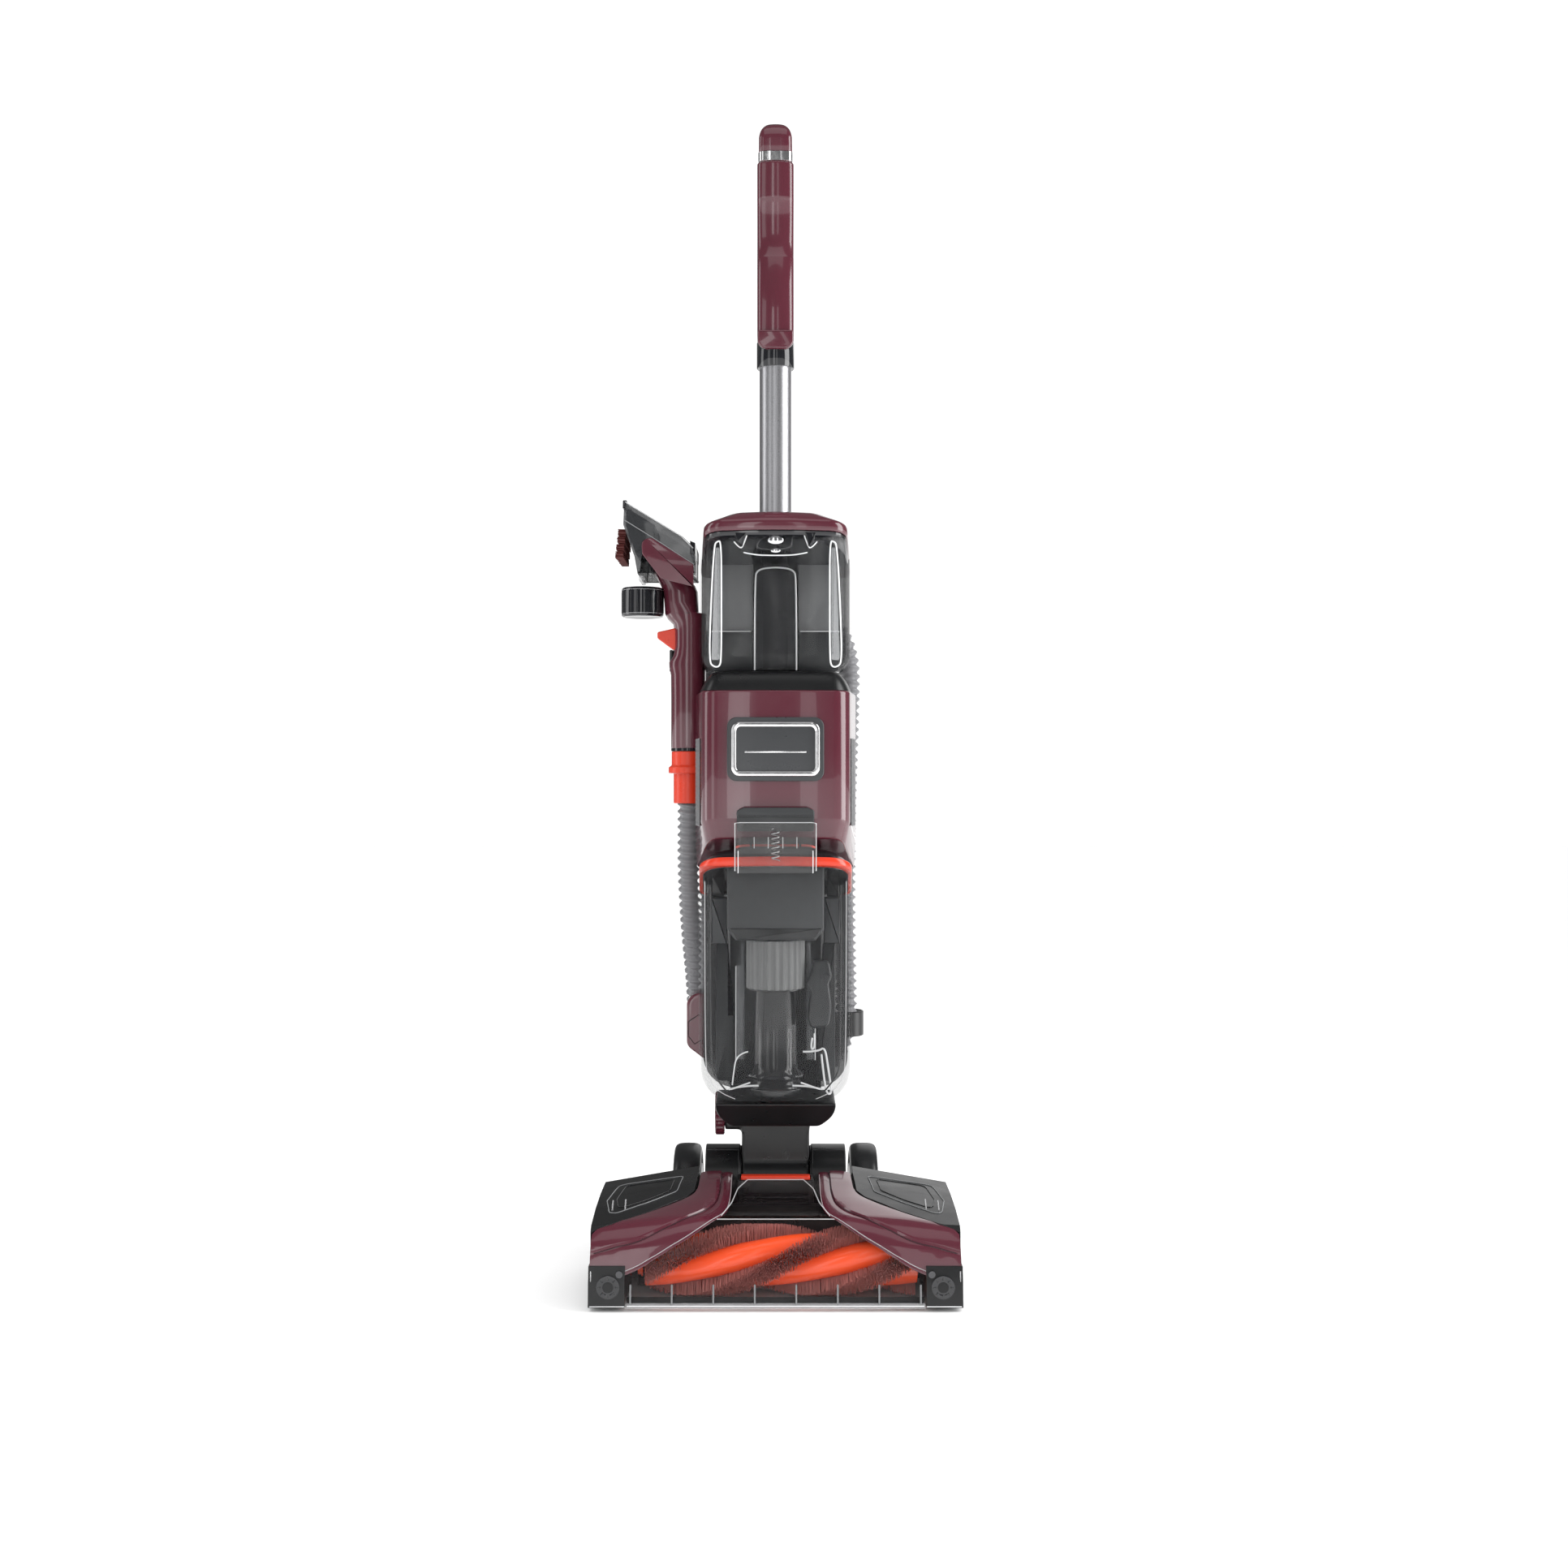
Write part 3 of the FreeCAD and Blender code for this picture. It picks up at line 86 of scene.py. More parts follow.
def between(tree, factor, low, high, start=0.3, end=0.7):
    node = tree.nodes.new("ShaderNodeMapRange")
    node.inputs["From Min"].default_value = start
    node.inputs["From Max"].default_value = end
    node.inputs["To Min"].default_value = low
    node.inputs["To Max"].default_value = high
    tree.links.new(factor, node.inputs["Value"])
    return node.outputs["Result"]


def bump(tree, shader, height, strength, distance):
    node = tree.nodes.new("ShaderNodeBump")
    node.inputs["Strength"].default_value = strength
    node.inputs["Distance"].default_value = distance
    tree.links.new(height, node.inputs["Height"])
    tree.links.new(node.outputs["Normal"], shader.inputs["Normal"])
    return node


def tint(tree, factor, dark, light):
    node = tree.nodes.new("ShaderNodeMix")
    node.data_type = "RGBA"
    node.inputs["A"].default_value = (*dark, 1)
    node.inputs["B"].default_value = (*light, 1)
    tree.links.new(factor, node.inputs["Factor"])
    return node.outputs["Result"]


def plastic(name, colour, rough, vary=0.12, grain=600, depth=0.000006, coat=0.0, strength=0.2, mottled=0.06):
    """Moulded plastic: faint cloudiness in colour and gloss, and a fine grain."""
    material, tree, shader = new_material(name)
    cloud = noise(tree, 14, 4)
    low = tuple(c * (1 - mottled) for c in colour)
    high = tuple(min(1, c * (1 + mottled)) for c in colour)
    tree.links.new(tint(tree, cloud, low, high), shader.inputs["Base Color"])
    tree.links.new(between(tree, noise(tree, 60, 3), rough * (1 - vary), rough * (1 + vary)), shader.inputs["Roughness"])
    bump(tree, shader, noise(tree, grain, 2), strength, depth)
    shader.inputs["Coat Weight"].default_value = coat
    shader.inputs["Coat Roughness"].default_value = 0.03
    return material


def metal(name, colour, rough, grain=500, stretch=(1, 1, 1), depth=0.00002, flake=0.08):
    """Metal or metallic paint with a fine flake or brushed grain."""
    material, tree, shader = new_material(name)
    speck = noise(tree, grain, 2, stretch)
    low = tuple(c * (1 - flake) for c in colour)
    high = tuple(min(1, c * (1 + flake)) for c in colour)
    tree.links.new(tint(tree, speck, low, high), shader.inputs["Base Color"])
    shader.inputs["Metallic"].default_value = 1.0
    tree.links.new(between(tree, speck, rough * 0.8, rough * 1.2), shader.inputs["Roughness"])
    bump(tree, shader, speck, 0.3, depth)
    return material


def clear(name, colour, alpha, rough=0.04):
    """Thin clear moulded plastic, seen through evenly."""
    material, tree, shader = new_material(name)
    shader.inputs["Base Color"].default_value = (*colour, 1)
    shader.inputs["Alpha"].default_value = alpha
    shader.inputs["IOR"].default_value = 1.5
    tree.links.new(between(tree, noise(tree, 40, 3), rough * 0.7, rough * 1.5), shader.inputs["Roughness"])
    bump(tree, shader, noise(tree, 35, 3), 0.12, 0.0004)
    return material


MAROON = (0.084, 0.0135, 0.0245)
MATERIALS = {
    "maroon_gloss": plastic("maroon_gloss", MAROON, 0.2, grain=1600, depth=0.000005, coat=0.8, strength=0.1),
    "smoke_clear": clear("smoke_clear", (0.04, 0.041, 0.043), 0.13),
    "black_plastic": plastic("black_plastic", (0.0065, 0.0068, 0.0075), 0.3),
    "dark_grey": plastic("dark_grey", (0.045, 0.048, 0.051), 0.38),
    "orange": plastic("orange", (0.62, 0.038, 0.012), 0.3),
    "chrome": metal("chrome", (0.82, 0.82, 0.84), 0.08, 300, depth=0.000005, flake=0.02),
    "silver_paint": metal("silver_paint", (0.5, 0.5, 0.52), 0.34, 1500, depth=0.00005, flake=0.35),
    "steel": metal("steel", (0.5, 0.5, 0.51), 0.3, 500, (1, 1, 12)),
    "dark_steel": metal("dark_steel", (0.11, 0.11, 0.115), 0.35),
    "wheel_tread": plastic("wheel_tread", (0.011, 0.0115, 0.0125), 0.3, grain=600),
    "soft_rubber": plastic("soft_rubber", (0.012, 0.012, 0.012), 0.6, grain=700, depth=0.0001),
    "bristle": plastic("bristle", (0.44, 0.16, 0.14), 0.5, grain=1200, depth=0.00005, strength=0.4, mottled=0.35),
    "hose_grey": clear("hose_grey", (0.2, 0.2, 0.21), 0.86, 0.2),
    "clear_bright": clear("clear_bright", (0.75, 0.76, 0.78), 0.16),
    "black_gloss": plastic("black_gloss", (0.008, 0.0085, 0.011), 0.1, coat=0.6, strength=0.1),
    "wall_grey": plastic("wall_grey", (0.15, 0.154, 0.158), 0.4),
    "wall_dark": plastic("wall_dark", (0.03, 0.032, 0.034), 0.4),
    "wall_dark_clear": clear("wall_dark_clear", (0.025, 0.026, 0.028), 0.7, 0.2),
    # pale grey clear fill of the flutes: a painted reflection of the lamps
    "flute_painted_reflection": clear("flute_painted_reflection", (0.55, 0.56, 0.57), 0.35, 0.12),
    "tank_shade": clear("tank_shade", (0.03, 0.031, 0.033), 0.62, 0.25),
    "chamber_black": plastic("chamber_black", (0.006, 0.006, 0.0065), 0.5),
    "badge_dark": plastic("badge_dark", (0.035, 0.037, 0.04), 0.3),
    "bright_chrome": metal("bright_chrome", (0.9, 0.9, 0.91), 0.14, 300, depth=0.000005, flake=0.02),
    "lattice": plastic("lattice", (0.16, 0.16, 0.165), 0.45),
    "orange_bright": plastic("orange_bright", (0.95, 0.085, 0.016), 0.2, coat=0.4),
    "orange_gloss": plastic("orange_gloss", (0.64, 0.036, 0.010), 0.22, coat=0.3),
    "lid_dark": plastic("lid_dark", (0.012, 0.0125, 0.0135), 0.16, coat=0.6),
    "box_grey": plastic("box_grey", (0.06, 0.063, 0.066), 0.42),
    "filter_light": plastic("filter_light", (0.2, 0.205, 0.205), 0.45),
    "pipe_gloss": plastic("pipe_gloss", (0.016, 0.017, 0.018), 0.14, coat=0.6),
    "guide_clear": clear("guide_clear", (0.3, 0.31, 0.32), 0.35, 0.15),
    "float_grey": plastic("float_grey", (0.032, 0.034, 0.036), 0.3, coat=0.2),
    "smoke_thin": clear("smoke_thin", (0.12, 0.12, 0.12), 0.22),
    "button_grey": plastic("button_grey", (0.03, 0.032, 0.034), 0.36),
    "hood_clear": clear("hood_clear", (0.05, 0.035, 0.035), 0.06),
    "lip_clear": clear("lip_clear", (0.5, 0.5, 0.51), 0.35, 0.1),
    # bright white semi-clear lines: painted highlights along clear edges, rims and creases
    "painted_soft_highlight": clear("painted_soft_highlight", (0.7, 0.7, 0.71), 0.45, 0.15),
    # darker maroon lines: the real seam of the grip, and painted shade in the wing grooves and the port's engraved
    # outline
    "maroon_seam_and_groove_shade": plastic("maroon_seam_and_groove_shade", (0.035, 0.007, 0.012), 0.3),
    # light grey for clear ribs and edge lines: dimmer painted highlights
    "dim_painted_highlight": plastic("dim_painted_highlight", (0.18, 0.185, 0.19), 0.25, coat=0.3),
    "tool_smoke": clear("tool_smoke", (0.04, 0.042, 0.045), 0.72, 0.08),
    "tool_bristle": plastic("tool_bristle", (0.09, 0.018, 0.016), 0.5, grain=1200, depth=0.0001, strength=0.5, mottled=0.35),
    # brighter white semi-clear lines: painted highlights along clear edges and rods
    "painted_highlight": clear("painted_highlight", (0.92, 0.93, 0.94), 0.75, 0.15),
    "shadow_grey": plastic("shadow_grey", (0.02, 0.021, 0.022), 0.25, coat=0.3),
}


# ---- mesh helpers ----------------------------------------------------------------------------------

def finish_piece(item, node=None, body=None, material=None, slot=None):
    """Gives a piece its material, taken from its slot where none is named, and its body, and lets it stand for its CAD
    node if it has one.
    """
    slot = slot or (SLOTS[node] if node else None)
    item.data.materials.clear()
    item.data.materials.append(MATERIALS[material or slot])
    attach(item, body or NODE_BODY[node])
    if node:
        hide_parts(node)
    return item


def object_from(name, mesh):
    item = bpy.data.objects.new(name, mesh)
    bpy.context.scene.collection.objects.link(item)
    return item


def shade(item, angle=35):
    """Smooth shading with edges sharper than an angle kept crisp."""
    mesh = item.data
    mesh.shade_smooth()
    net = bmesh.new()
    net.from_mesh(mesh)
    for edge in net.edges:
        edge.smooth = not (len(edge.link_faces) == 2 and edge.calc_face_angle(0) > math.radians(angle))
    net.to_mesh(mesh)
    net.free()
    return item


def make(name, net, angle=35):
    mesh = bpy.data.meshes.new(name)
    bmesh.ops.recalc_face_normals(net, faces=net.faces)
    net.to_mesh(mesh)
    net.free()
    return shade(object_from(name, mesh), angle)


def soften(item, width, segments=3, limit=30):
    """Rounds the edges with a bevel modifier so that the highlights run along them."""
    bevel = item.modifiers.new("soft_edges", "BEVEL")
    bevel.width = width
    bevel.segments = segments
    bevel.limit_method = "ANGLE"
    bevel.angle_limit = math.radians(limit)
    bevel.use_clamp_overlap = True
    bevel.harden_normals = False
    weighted = item.modifiers.new("even_faces", "WEIGHTED_NORMAL")
    weighted.keep_sharp = True
    return item


def refined(node, name, width=1.2, segments=3, limit=30, material=None, angle=45):
    """A finished copy of a CAD node: flat faces joined up, edges rounded and shaded smoothly."""
    mesh = frame["nodes"][node].data.copy()
    mesh.name = name
    net = bmesh.new()
    net.from_mesh(mesh)
    bmesh.ops.remove_doubles(net, verts=net.verts, dist=1e-6)
    bmesh.ops.dissolve_limit(net, angle_limit=math.radians(1.0), verts=net.verts, edges=net.edges)
    net.to_mesh(mesh)
    net.free()
    item = shade(object_from(name, mesh), angle)
    if width:
        soften(item, width * MM, segments, limit)
    return finish_piece(item, node, material=material)


def arc_corner(before, corner, after, radius, count):
    """Points of a rounded corner of a plane outline."""
    before, corner, after = Vector(before), Vector(corner), Vector(after)
    toward = (before - corner).normalized()
    away = (after - corner).normalized()
    turn = toward.angle(away)
    if turn > math.pi - 1e-4:
        return [corner.copy() for _ in range(count + 1)]
    reach = min(radius / math.tan(turn / 2), (before - corner).length * 0.49, (after - corner).length * 0.49)
    radius = reach * math.tan(turn / 2)
    centre = corner + (toward + away).normalized() * (radius / math.sin(turn / 2))
    start = corner + toward * reach - centre
    end = corner + away * reach - centre
    sweep = start.angle(end)
    points = []
    for i in range(count + 1):
        t = i / count
        if sweep < 1e-4:
            points.append(centre + start.lerp(end, t))
        else:
            points.append(centre + (start * math.sin((1 - t) * sweep) + end * math.sin(t * sweep)) / math.sin(sweep))
    return points


def outline(corners, count=6):
    """A closed plane outline in metres from corners (x, y, radius) in millimetres."""
    flat = [(c[0] * MM, c[1] * MM) for c in corners]
    points = []
    for i, corner in enumerate(corners):
        radius = (corner[2] if len(corner) > 2 else 0.05) * MM
        number = corner[3] if len(corner) > 3 else count
        points += arc_corner(flat[i - 1], flat[i], flat[(i + 1) % len(flat)], radius, number)
    return points


def loft(name, rings, ends=(True, True), angle=35, closed=True):
    """A skin through rings of 3-D points with the same count."""
    net = bmesh.new()
    rows = [[net.verts.new(point) for point in ring] for ring in rings]
    count = len(rows[0])
    last = count if closed else count - 1
    for low, high in zip(rows, rows[1:]):
        for i in range(last):
            j = (i + 1) % count
            net.faces.new((low[i], low[j], high[j], high[i]))
    if ends[0]:
        net.faces.new(list(reversed(rows[0])))
    if ends[1]:
        net.faces.new(rows[-1])
    bmesh.ops.remove_doubles(net, verts=net.verts, dist=1e-7)
    return make(name, net, angle)


def at_height(points, height):
    return [Vector((p.x, p.y, height * MM)) for p in points]


def tilted(points, height, origin, slope):
    """Plan points put on a plane that slopes down to the rear by an angle about a line across at origin."""
    lean = math.tan(math.radians(slope))
    return [Vector((p.x, p.y, height * MM - (p.y - origin * MM) * lean)) for p in points]


def tube_along(name, points, radius, sides=12, shape=None, closed=False):
    """A tube that follows points. shape(length, angle) gives its radius."""
    points = [Vector(p) for p in points]
    count = len(points)
    lengths = [0.0]
    for a, b in zip(points, points[1:]):
        lengths.append(lengths[-1] + (b - a).length)
    side = None
    rings = []
    for i, point in enumerate(points):
        if closed:
            along = (points[(i + 1) % count] - points[i - 1]).normalized()
        else:
            along = (points[min(i + 1, count - 1)] - points[max(i - 1, 0)]).normalized()
        if side is None:
            side = along.orthogonal().normalized()
        side = (side - along * side.dot(along)).normalized()
        other = along.cross(side)
        ring = []
        for k in range(sides):
            turn = math.tau * k / sides
            r = shape(lengths[i], turn) if shape else radius
            ring.append(point + (side * math.cos(turn) + other * math.sin(turn)) * r)
        rings.append(ring)
    if closed:
        rings.append(rings[0])
    return loft(name, rings, ends=(not closed, not closed), angle=80)


def joined(name, items):
    """Several mesh objects as one, before it gets its body."""
    net = bmesh.new()
    for item in items:
        net.from_mesh(item.data)
        mesh = item.data
        bpy.data.objects.remove(item)
        bpy.data.meshes.remove(mesh)
    mesh = bpy.data.meshes.new(name)
    net.to_mesh(mesh)
    net.free()
    mesh.shade_smooth()
    return object_from(name, mesh)


def block(name, low, high, width=0.6, segments=2):
    """A box in millimetres with rounded edges, in the mesh itself."""
    net = bmesh.new()
    bmesh.ops.create_cube(net, size=1)
    size = [(b - a) * MM for a, b in zip(low, high)]
    centre = [(a + b) / 2 * MM for a, b in zip(low, high)]
    for vert in net.verts:
        vert.co = Vector((vert.co.x * size[0] + centre[0], vert.co.y * size[1] + centre[1], vert.co.z * size[2] + centre[2]))
    if width:
        bmesh.ops.bevel(net, geom=list(net.edges), offset=width * MM, segments=segments, profile=0.5, affect="EDGES")
    return make(name, net, 50)


def slab(name, corners, start, end, axis, width=0.0, count=5, segments=2):
    """An outline in millimetres extruded along an axis: X takes (y, z) corners, Y (x, z) and Z (x, y)."""
    points = outline(corners, count)

    def lay(p, depth):
        if axis == "X":
            return Vector((depth, p.x, p.y))
        if axis == "Y":
            return Vector((p.x, depth, p.y))
        return Vector((p.x, p.y, depth))

    net = bmesh.new()
    rows = [[net.verts.new(lay(p, depth * MM)) for p in points] for depth in (start, end)]
    n = len(points)
    for i in range(n):
        j = (i + 1) % n
        net.faces.new((rows[0][i], rows[0][j], rows[1][j], rows[1][i]))
    net.faces.new(list(reversed(rows[0])))
    net.faces.new(rows[1])
    bmesh.ops.remove_doubles(net, verts=net.verts, dist=1e-6)
    bmesh.ops.recalc_face_normals(net, faces=net.faces)
    if width:
        rim = [e for e in net.edges if len(e.link_faces) == 2 and e.calc_face_angle(0) > math.radians(60)
               and (len(e.link_faces[0].verts) > 4 or len(e.link_faces[1].verts) > 4)]
        bmesh.ops.bevel(net, geom=rim, offset=width * MM, segments=segments, profile=0.5, affect="EDGES")
    return make(name, net, 50)


# ---- camera and hose -------------------------------------------------------------------------------

def camera():
    data = bpy.data.cameras.new("camera")
    data.sensor_width = 36
    data.lens = 41.0
    data.shift_x = 0.0054
    data.clip_start = 0.05
    item = bpy.data.objects.new("camera", data)
    bpy.context.scene.collection.objects.link(item)
    item.location = (0, -1.756, 0.4753)
    item.rotation_euler = (math.radians(90), 0, 0)
    bpy.context.scene.camera = item
    bpy.context.scene.view_settings.view_transform = "Standard"


HOSE_ROUTE = [
    (-0.087, 0.032, 0.498), (-0.087, 0.032, 0.45), (-0.0875, 0.034, 0.396), (-0.085, 0.043, 0.335), (-0.08, 0.062, 0.275),
    (-0.078, 0.074, 0.21), (-0.034, 0.083, 0.1657), (0.029, 0.083, 0.1657), (0.073, 0.072, 0.21),
    (0.0715, 0.066, 0.275), (0.07, 0.062, 0.36), (0.071, 0.066, 0.45), (0.075, 0.074, 0.545), (0.076, 0.082, 0.622),
    (0.033, 0.084, 0.665), (-0.029, 0.084, 0.665), (-0.072, 0.078, 0.622), (-0.071, 0.07, 0.556), (-0.065, 0.064, 0.47),
    (-0.065, 0.05, 0.4), (-0.066, 0.028, 0.335), (-0.066, 0.028, 0.268),
]
HOSE_DIAMETER = 0.023
HOSE_PITCH = 0.0078


def hose():
    """The corrugated hose, from its port up to the coupling of the hand tool."""
    data = bpy.data.curves.new("hose_line", "CURVE")
    data.dimensions = "3D"
    data.resolution_u = 48
    spline = data.splines.new("NURBS")
    route = list(reversed(HOSE_ROUTE))
    spline.points.add(len(route) - 1)
    for point, place in zip(spline.points, route):
        point.co = (*place, 1)
    spline.order_u = 3
    spline.use_endpoint_u = True
    line = bpy.data.objects.new("hose_line", data)
    bpy.context.scene.collection.objects.link(line)
    bpy.context.view_layer.update()
    mesh = bpy.data.meshes.new_from_object(line)
    points = [vert.co.copy() for vert in mesh.vertices]
    bpy.data.objects.remove(line)
    bpy.data.meshes.remove(mesh)
    # even steps along the line, eight to a turn of the corrugation
    lengths = [0.0]
    for a, b in zip(points, points[1:]):
        lengths.append(lengths[-1] + (b - a).length)
    total = lengths[-1]
    steps = int(total / (HOSE_PITCH / 8))
    even = []
    k = 0
    for i in range(steps + 1):
        want = total * i / steps
        while k < len(lengths) - 2 and lengths[k + 1] < want:
            k += 1
        part = (want - lengths[k]) / max(1e-9, lengths[k + 1] - lengths[k])
        even.append(points[k].lerp(points[k + 1], part))
    half = HOSE_DIAMETER / 2

    def ribs(length, turn):
        wave = abs(math.sin(math.pi * (length / HOSE_PITCH + turn / math.tau)))
        return half - 0.0032 * wave ** 1.2

    item = tube_along("corrugated_hose", even, half, 22, ribs)
    finish_piece(item, "hose")
    print("hose line", round(total, 4), "m, steps", steps)
    coupling = refined("tool_coupling", "hose_coupling", 0.8)
    return item


camera()
hose()


# ---- every CAD node that keeps its shape -----------------------------------------------------------

def kept_nodes():
    """Materials on the nodes that stay as they are, mostly mechanism seen through the clear parts."""
    for node, item in frame["nodes"].items():
        item.data.materials.clear()
        item.data.materials.append(MATERIALS["dark_steel" if node == "end_cap_screws" else SLOTS[node]])


kept_nodes()


# ---- shapes shared by the upright's shells ---------------------------------------------------------

def plan(half_front, half_rear, front, rear, corner=18, bulge=3.0, back_corner=4):
    """Plan outline in millimetres of a shell with a slightly crowned front and tapering sides."""
    flat = half_front - corner * 2.2
    count = 14
    corners = [(-half_rear, rear, back_corner, 3), (-half_front, front + bulge, corner, 9)]
    for i in range(count + 1):
        x = -flat + 2 * flat * i / count
        corners.append((x, front + bulge * (x / half_front) ** 2, 0.05, 1))
    corners += [(half_front, front + bulge, corner, 9), (half_rear, rear, back_corner, 3)]
    return outline(corners)


def carved(node, name, voxel=1.4, rounds=6, material=None, push=None, faces=14000):
    """A moulding with soft, flowing edges, made from the solid of its CAD node."""
    mesh = frame["nodes"][node].data.copy()
    item = object_from(name, mesh)
    remesh = item.modifiers.new("even_skin", "REMESH")
    remesh.mode = "VOXEL"
    remesh.voxel_size = voxel * MM
    smooth = item.modifiers.new("flow", "SMOOTH")
    smooth.factor = 0.5
    smooth.iterations = rounds
    graph = bpy.context.evaluated_depsgraph_get()
    done = bpy.data.meshes.new_from_object(item.evaluated_get(graph))
    bpy.data.objects.remove(item)
    bpy.data.meshes.remove(mesh)
    done.name = name
    if push:
        for vert in done.vertices:
            vert.co = push(vert.co.copy())
    item = object_from(name, done)
    if len(done.polygons) > faces:
        fewer = item.modifiers.new("fewer_faces", "DECIMATE")
        fewer.ratio = faces / len(done.polygons) / 2
        graph = bpy.context.evaluated_depsgraph_get()
        light = bpy.data.meshes.new_from_object(item.evaluated_get(graph))
        item.modifiers.clear()
        item.data = light
    item.data.shade_smooth()
    return finish_piece(item, node, material=material)


def wire(name, points, radius, material, body, sides=8, closed=False, slot=None, smooth_line=True):
    """A thin rounded rod through points in millimetres."""
    places = [Vector(p) * MM for p in points]
    if smooth_line and len(places) > 2:
        data = bpy.data.curves.new(name, "CURVE")
        data.dimensions = "3D"
        data.resolution_u = 10
        spline = data.splines.new("NURBS")
        spline.points.add(len(places) - 1)
        for point, place in zip(spline.points, places):
            point.co = (*place, 1)
        spline.order_u = 3
        spline.use_endpoint_u = not closed
        spline.use_cyclic_u = closed
        line = object_from(name, data)
        bpy.context.view_layer.update()
        mesh = bpy.data.meshes.new_from_object(line)
        places = [vert.co.copy() for vert in mesh.vertices]
        bpy.data.objects.remove(line)
        bpy.data.meshes.remove(mesh)
        if closed and (places[0] - places[-1]).length < 1e-6:
            places.pop()
    item = tube_along(name, places, radius * MM, sides, closed=closed)
    return finish_piece(item, body=body, material=material, slot=slot)


def rods(name, runs, radius, material, body, slot=None, sides=8):
    """Several straight thin rods as one piece."""
    made = [tube_along(f"{name}_{k}", [Vector(p) * MM for p in run], radius * MM, sides) for k, run in enumerate(runs)]
    return finish_piece(shade(joined(name, made), 60), body=body, material=material, slot=slot)


def panel(name, corners, start, end, axis, material, body, width=0.6, count=4, slot=None, node=None):
    item = slab(name, corners, start, end, axis, width, count)
    return finish_piece(item, node, body=body, material=material, slot=slot)


# ---- upright: housing, ring, clean tank and top hood -----------------------------------------------

def housing():
    rings = []
    rings.append(at_height(plan(67.6, 78.2, -78.6, 11.4), 563.5))
    rings.append(at_height(plan(68.6, 79.2, -79.6, 11.4), 562.9))
    rings.append(at_height(plan(69, 79.5, -80, 11.4), 561.5))
    rings.append(at_height(plan(69, 79.5, -80, 11.4), 500))
    rings.append(tilted(plan(69, 79.5, -80, 11.4), 444, -80, 9))
    rings.append(tilted(plan(68.7, 79.4, -79.7, 11.4), 441.5, -80, 11))
    rings.append(tilted(plan(68.0, 79.2, -78.8, 11.4), 439.2, -80, 13))
    rings.append(tilted(plan(65.5, 78.6, -73.5, 11.4), 428.5, -74, 20))
    rings.append(tilted(plan(64.8, 78.2, -71.8, 11.4), 425.6, -72, 21))
    rings.append(tilted(plan(64.0, 77.4, -71.0, 11.2), 424.6, -72, 21))
    rings.append(tilted(plan(62.0, 75.4, -69.0, 10), 424.8, -72, 21))
    item = loft("housing", rings, angle=50)
    finish_piece(item, "motor_housing")


def ring():
    rings = []
    for i in range(11):
        t = i / 10
        inset = 13.0 * t ** 1.25
        rise = 18.3 * math.sin(t * math.pi / 2) ** 1.15
        rings.append(at_height(plan(68.4 - inset, 75.8 - inset, -79 + inset, 11.4, corner=max(8, 18 - inset * 0.6)), 563.7 + rise))
    rings.insert(0, at_height(plan(67.9, 75.3, -78.5, 11.2), 563.55))
    item = loft("dark_ring", rings, angle=50)
    finish_piece(item, "bevel_ring")


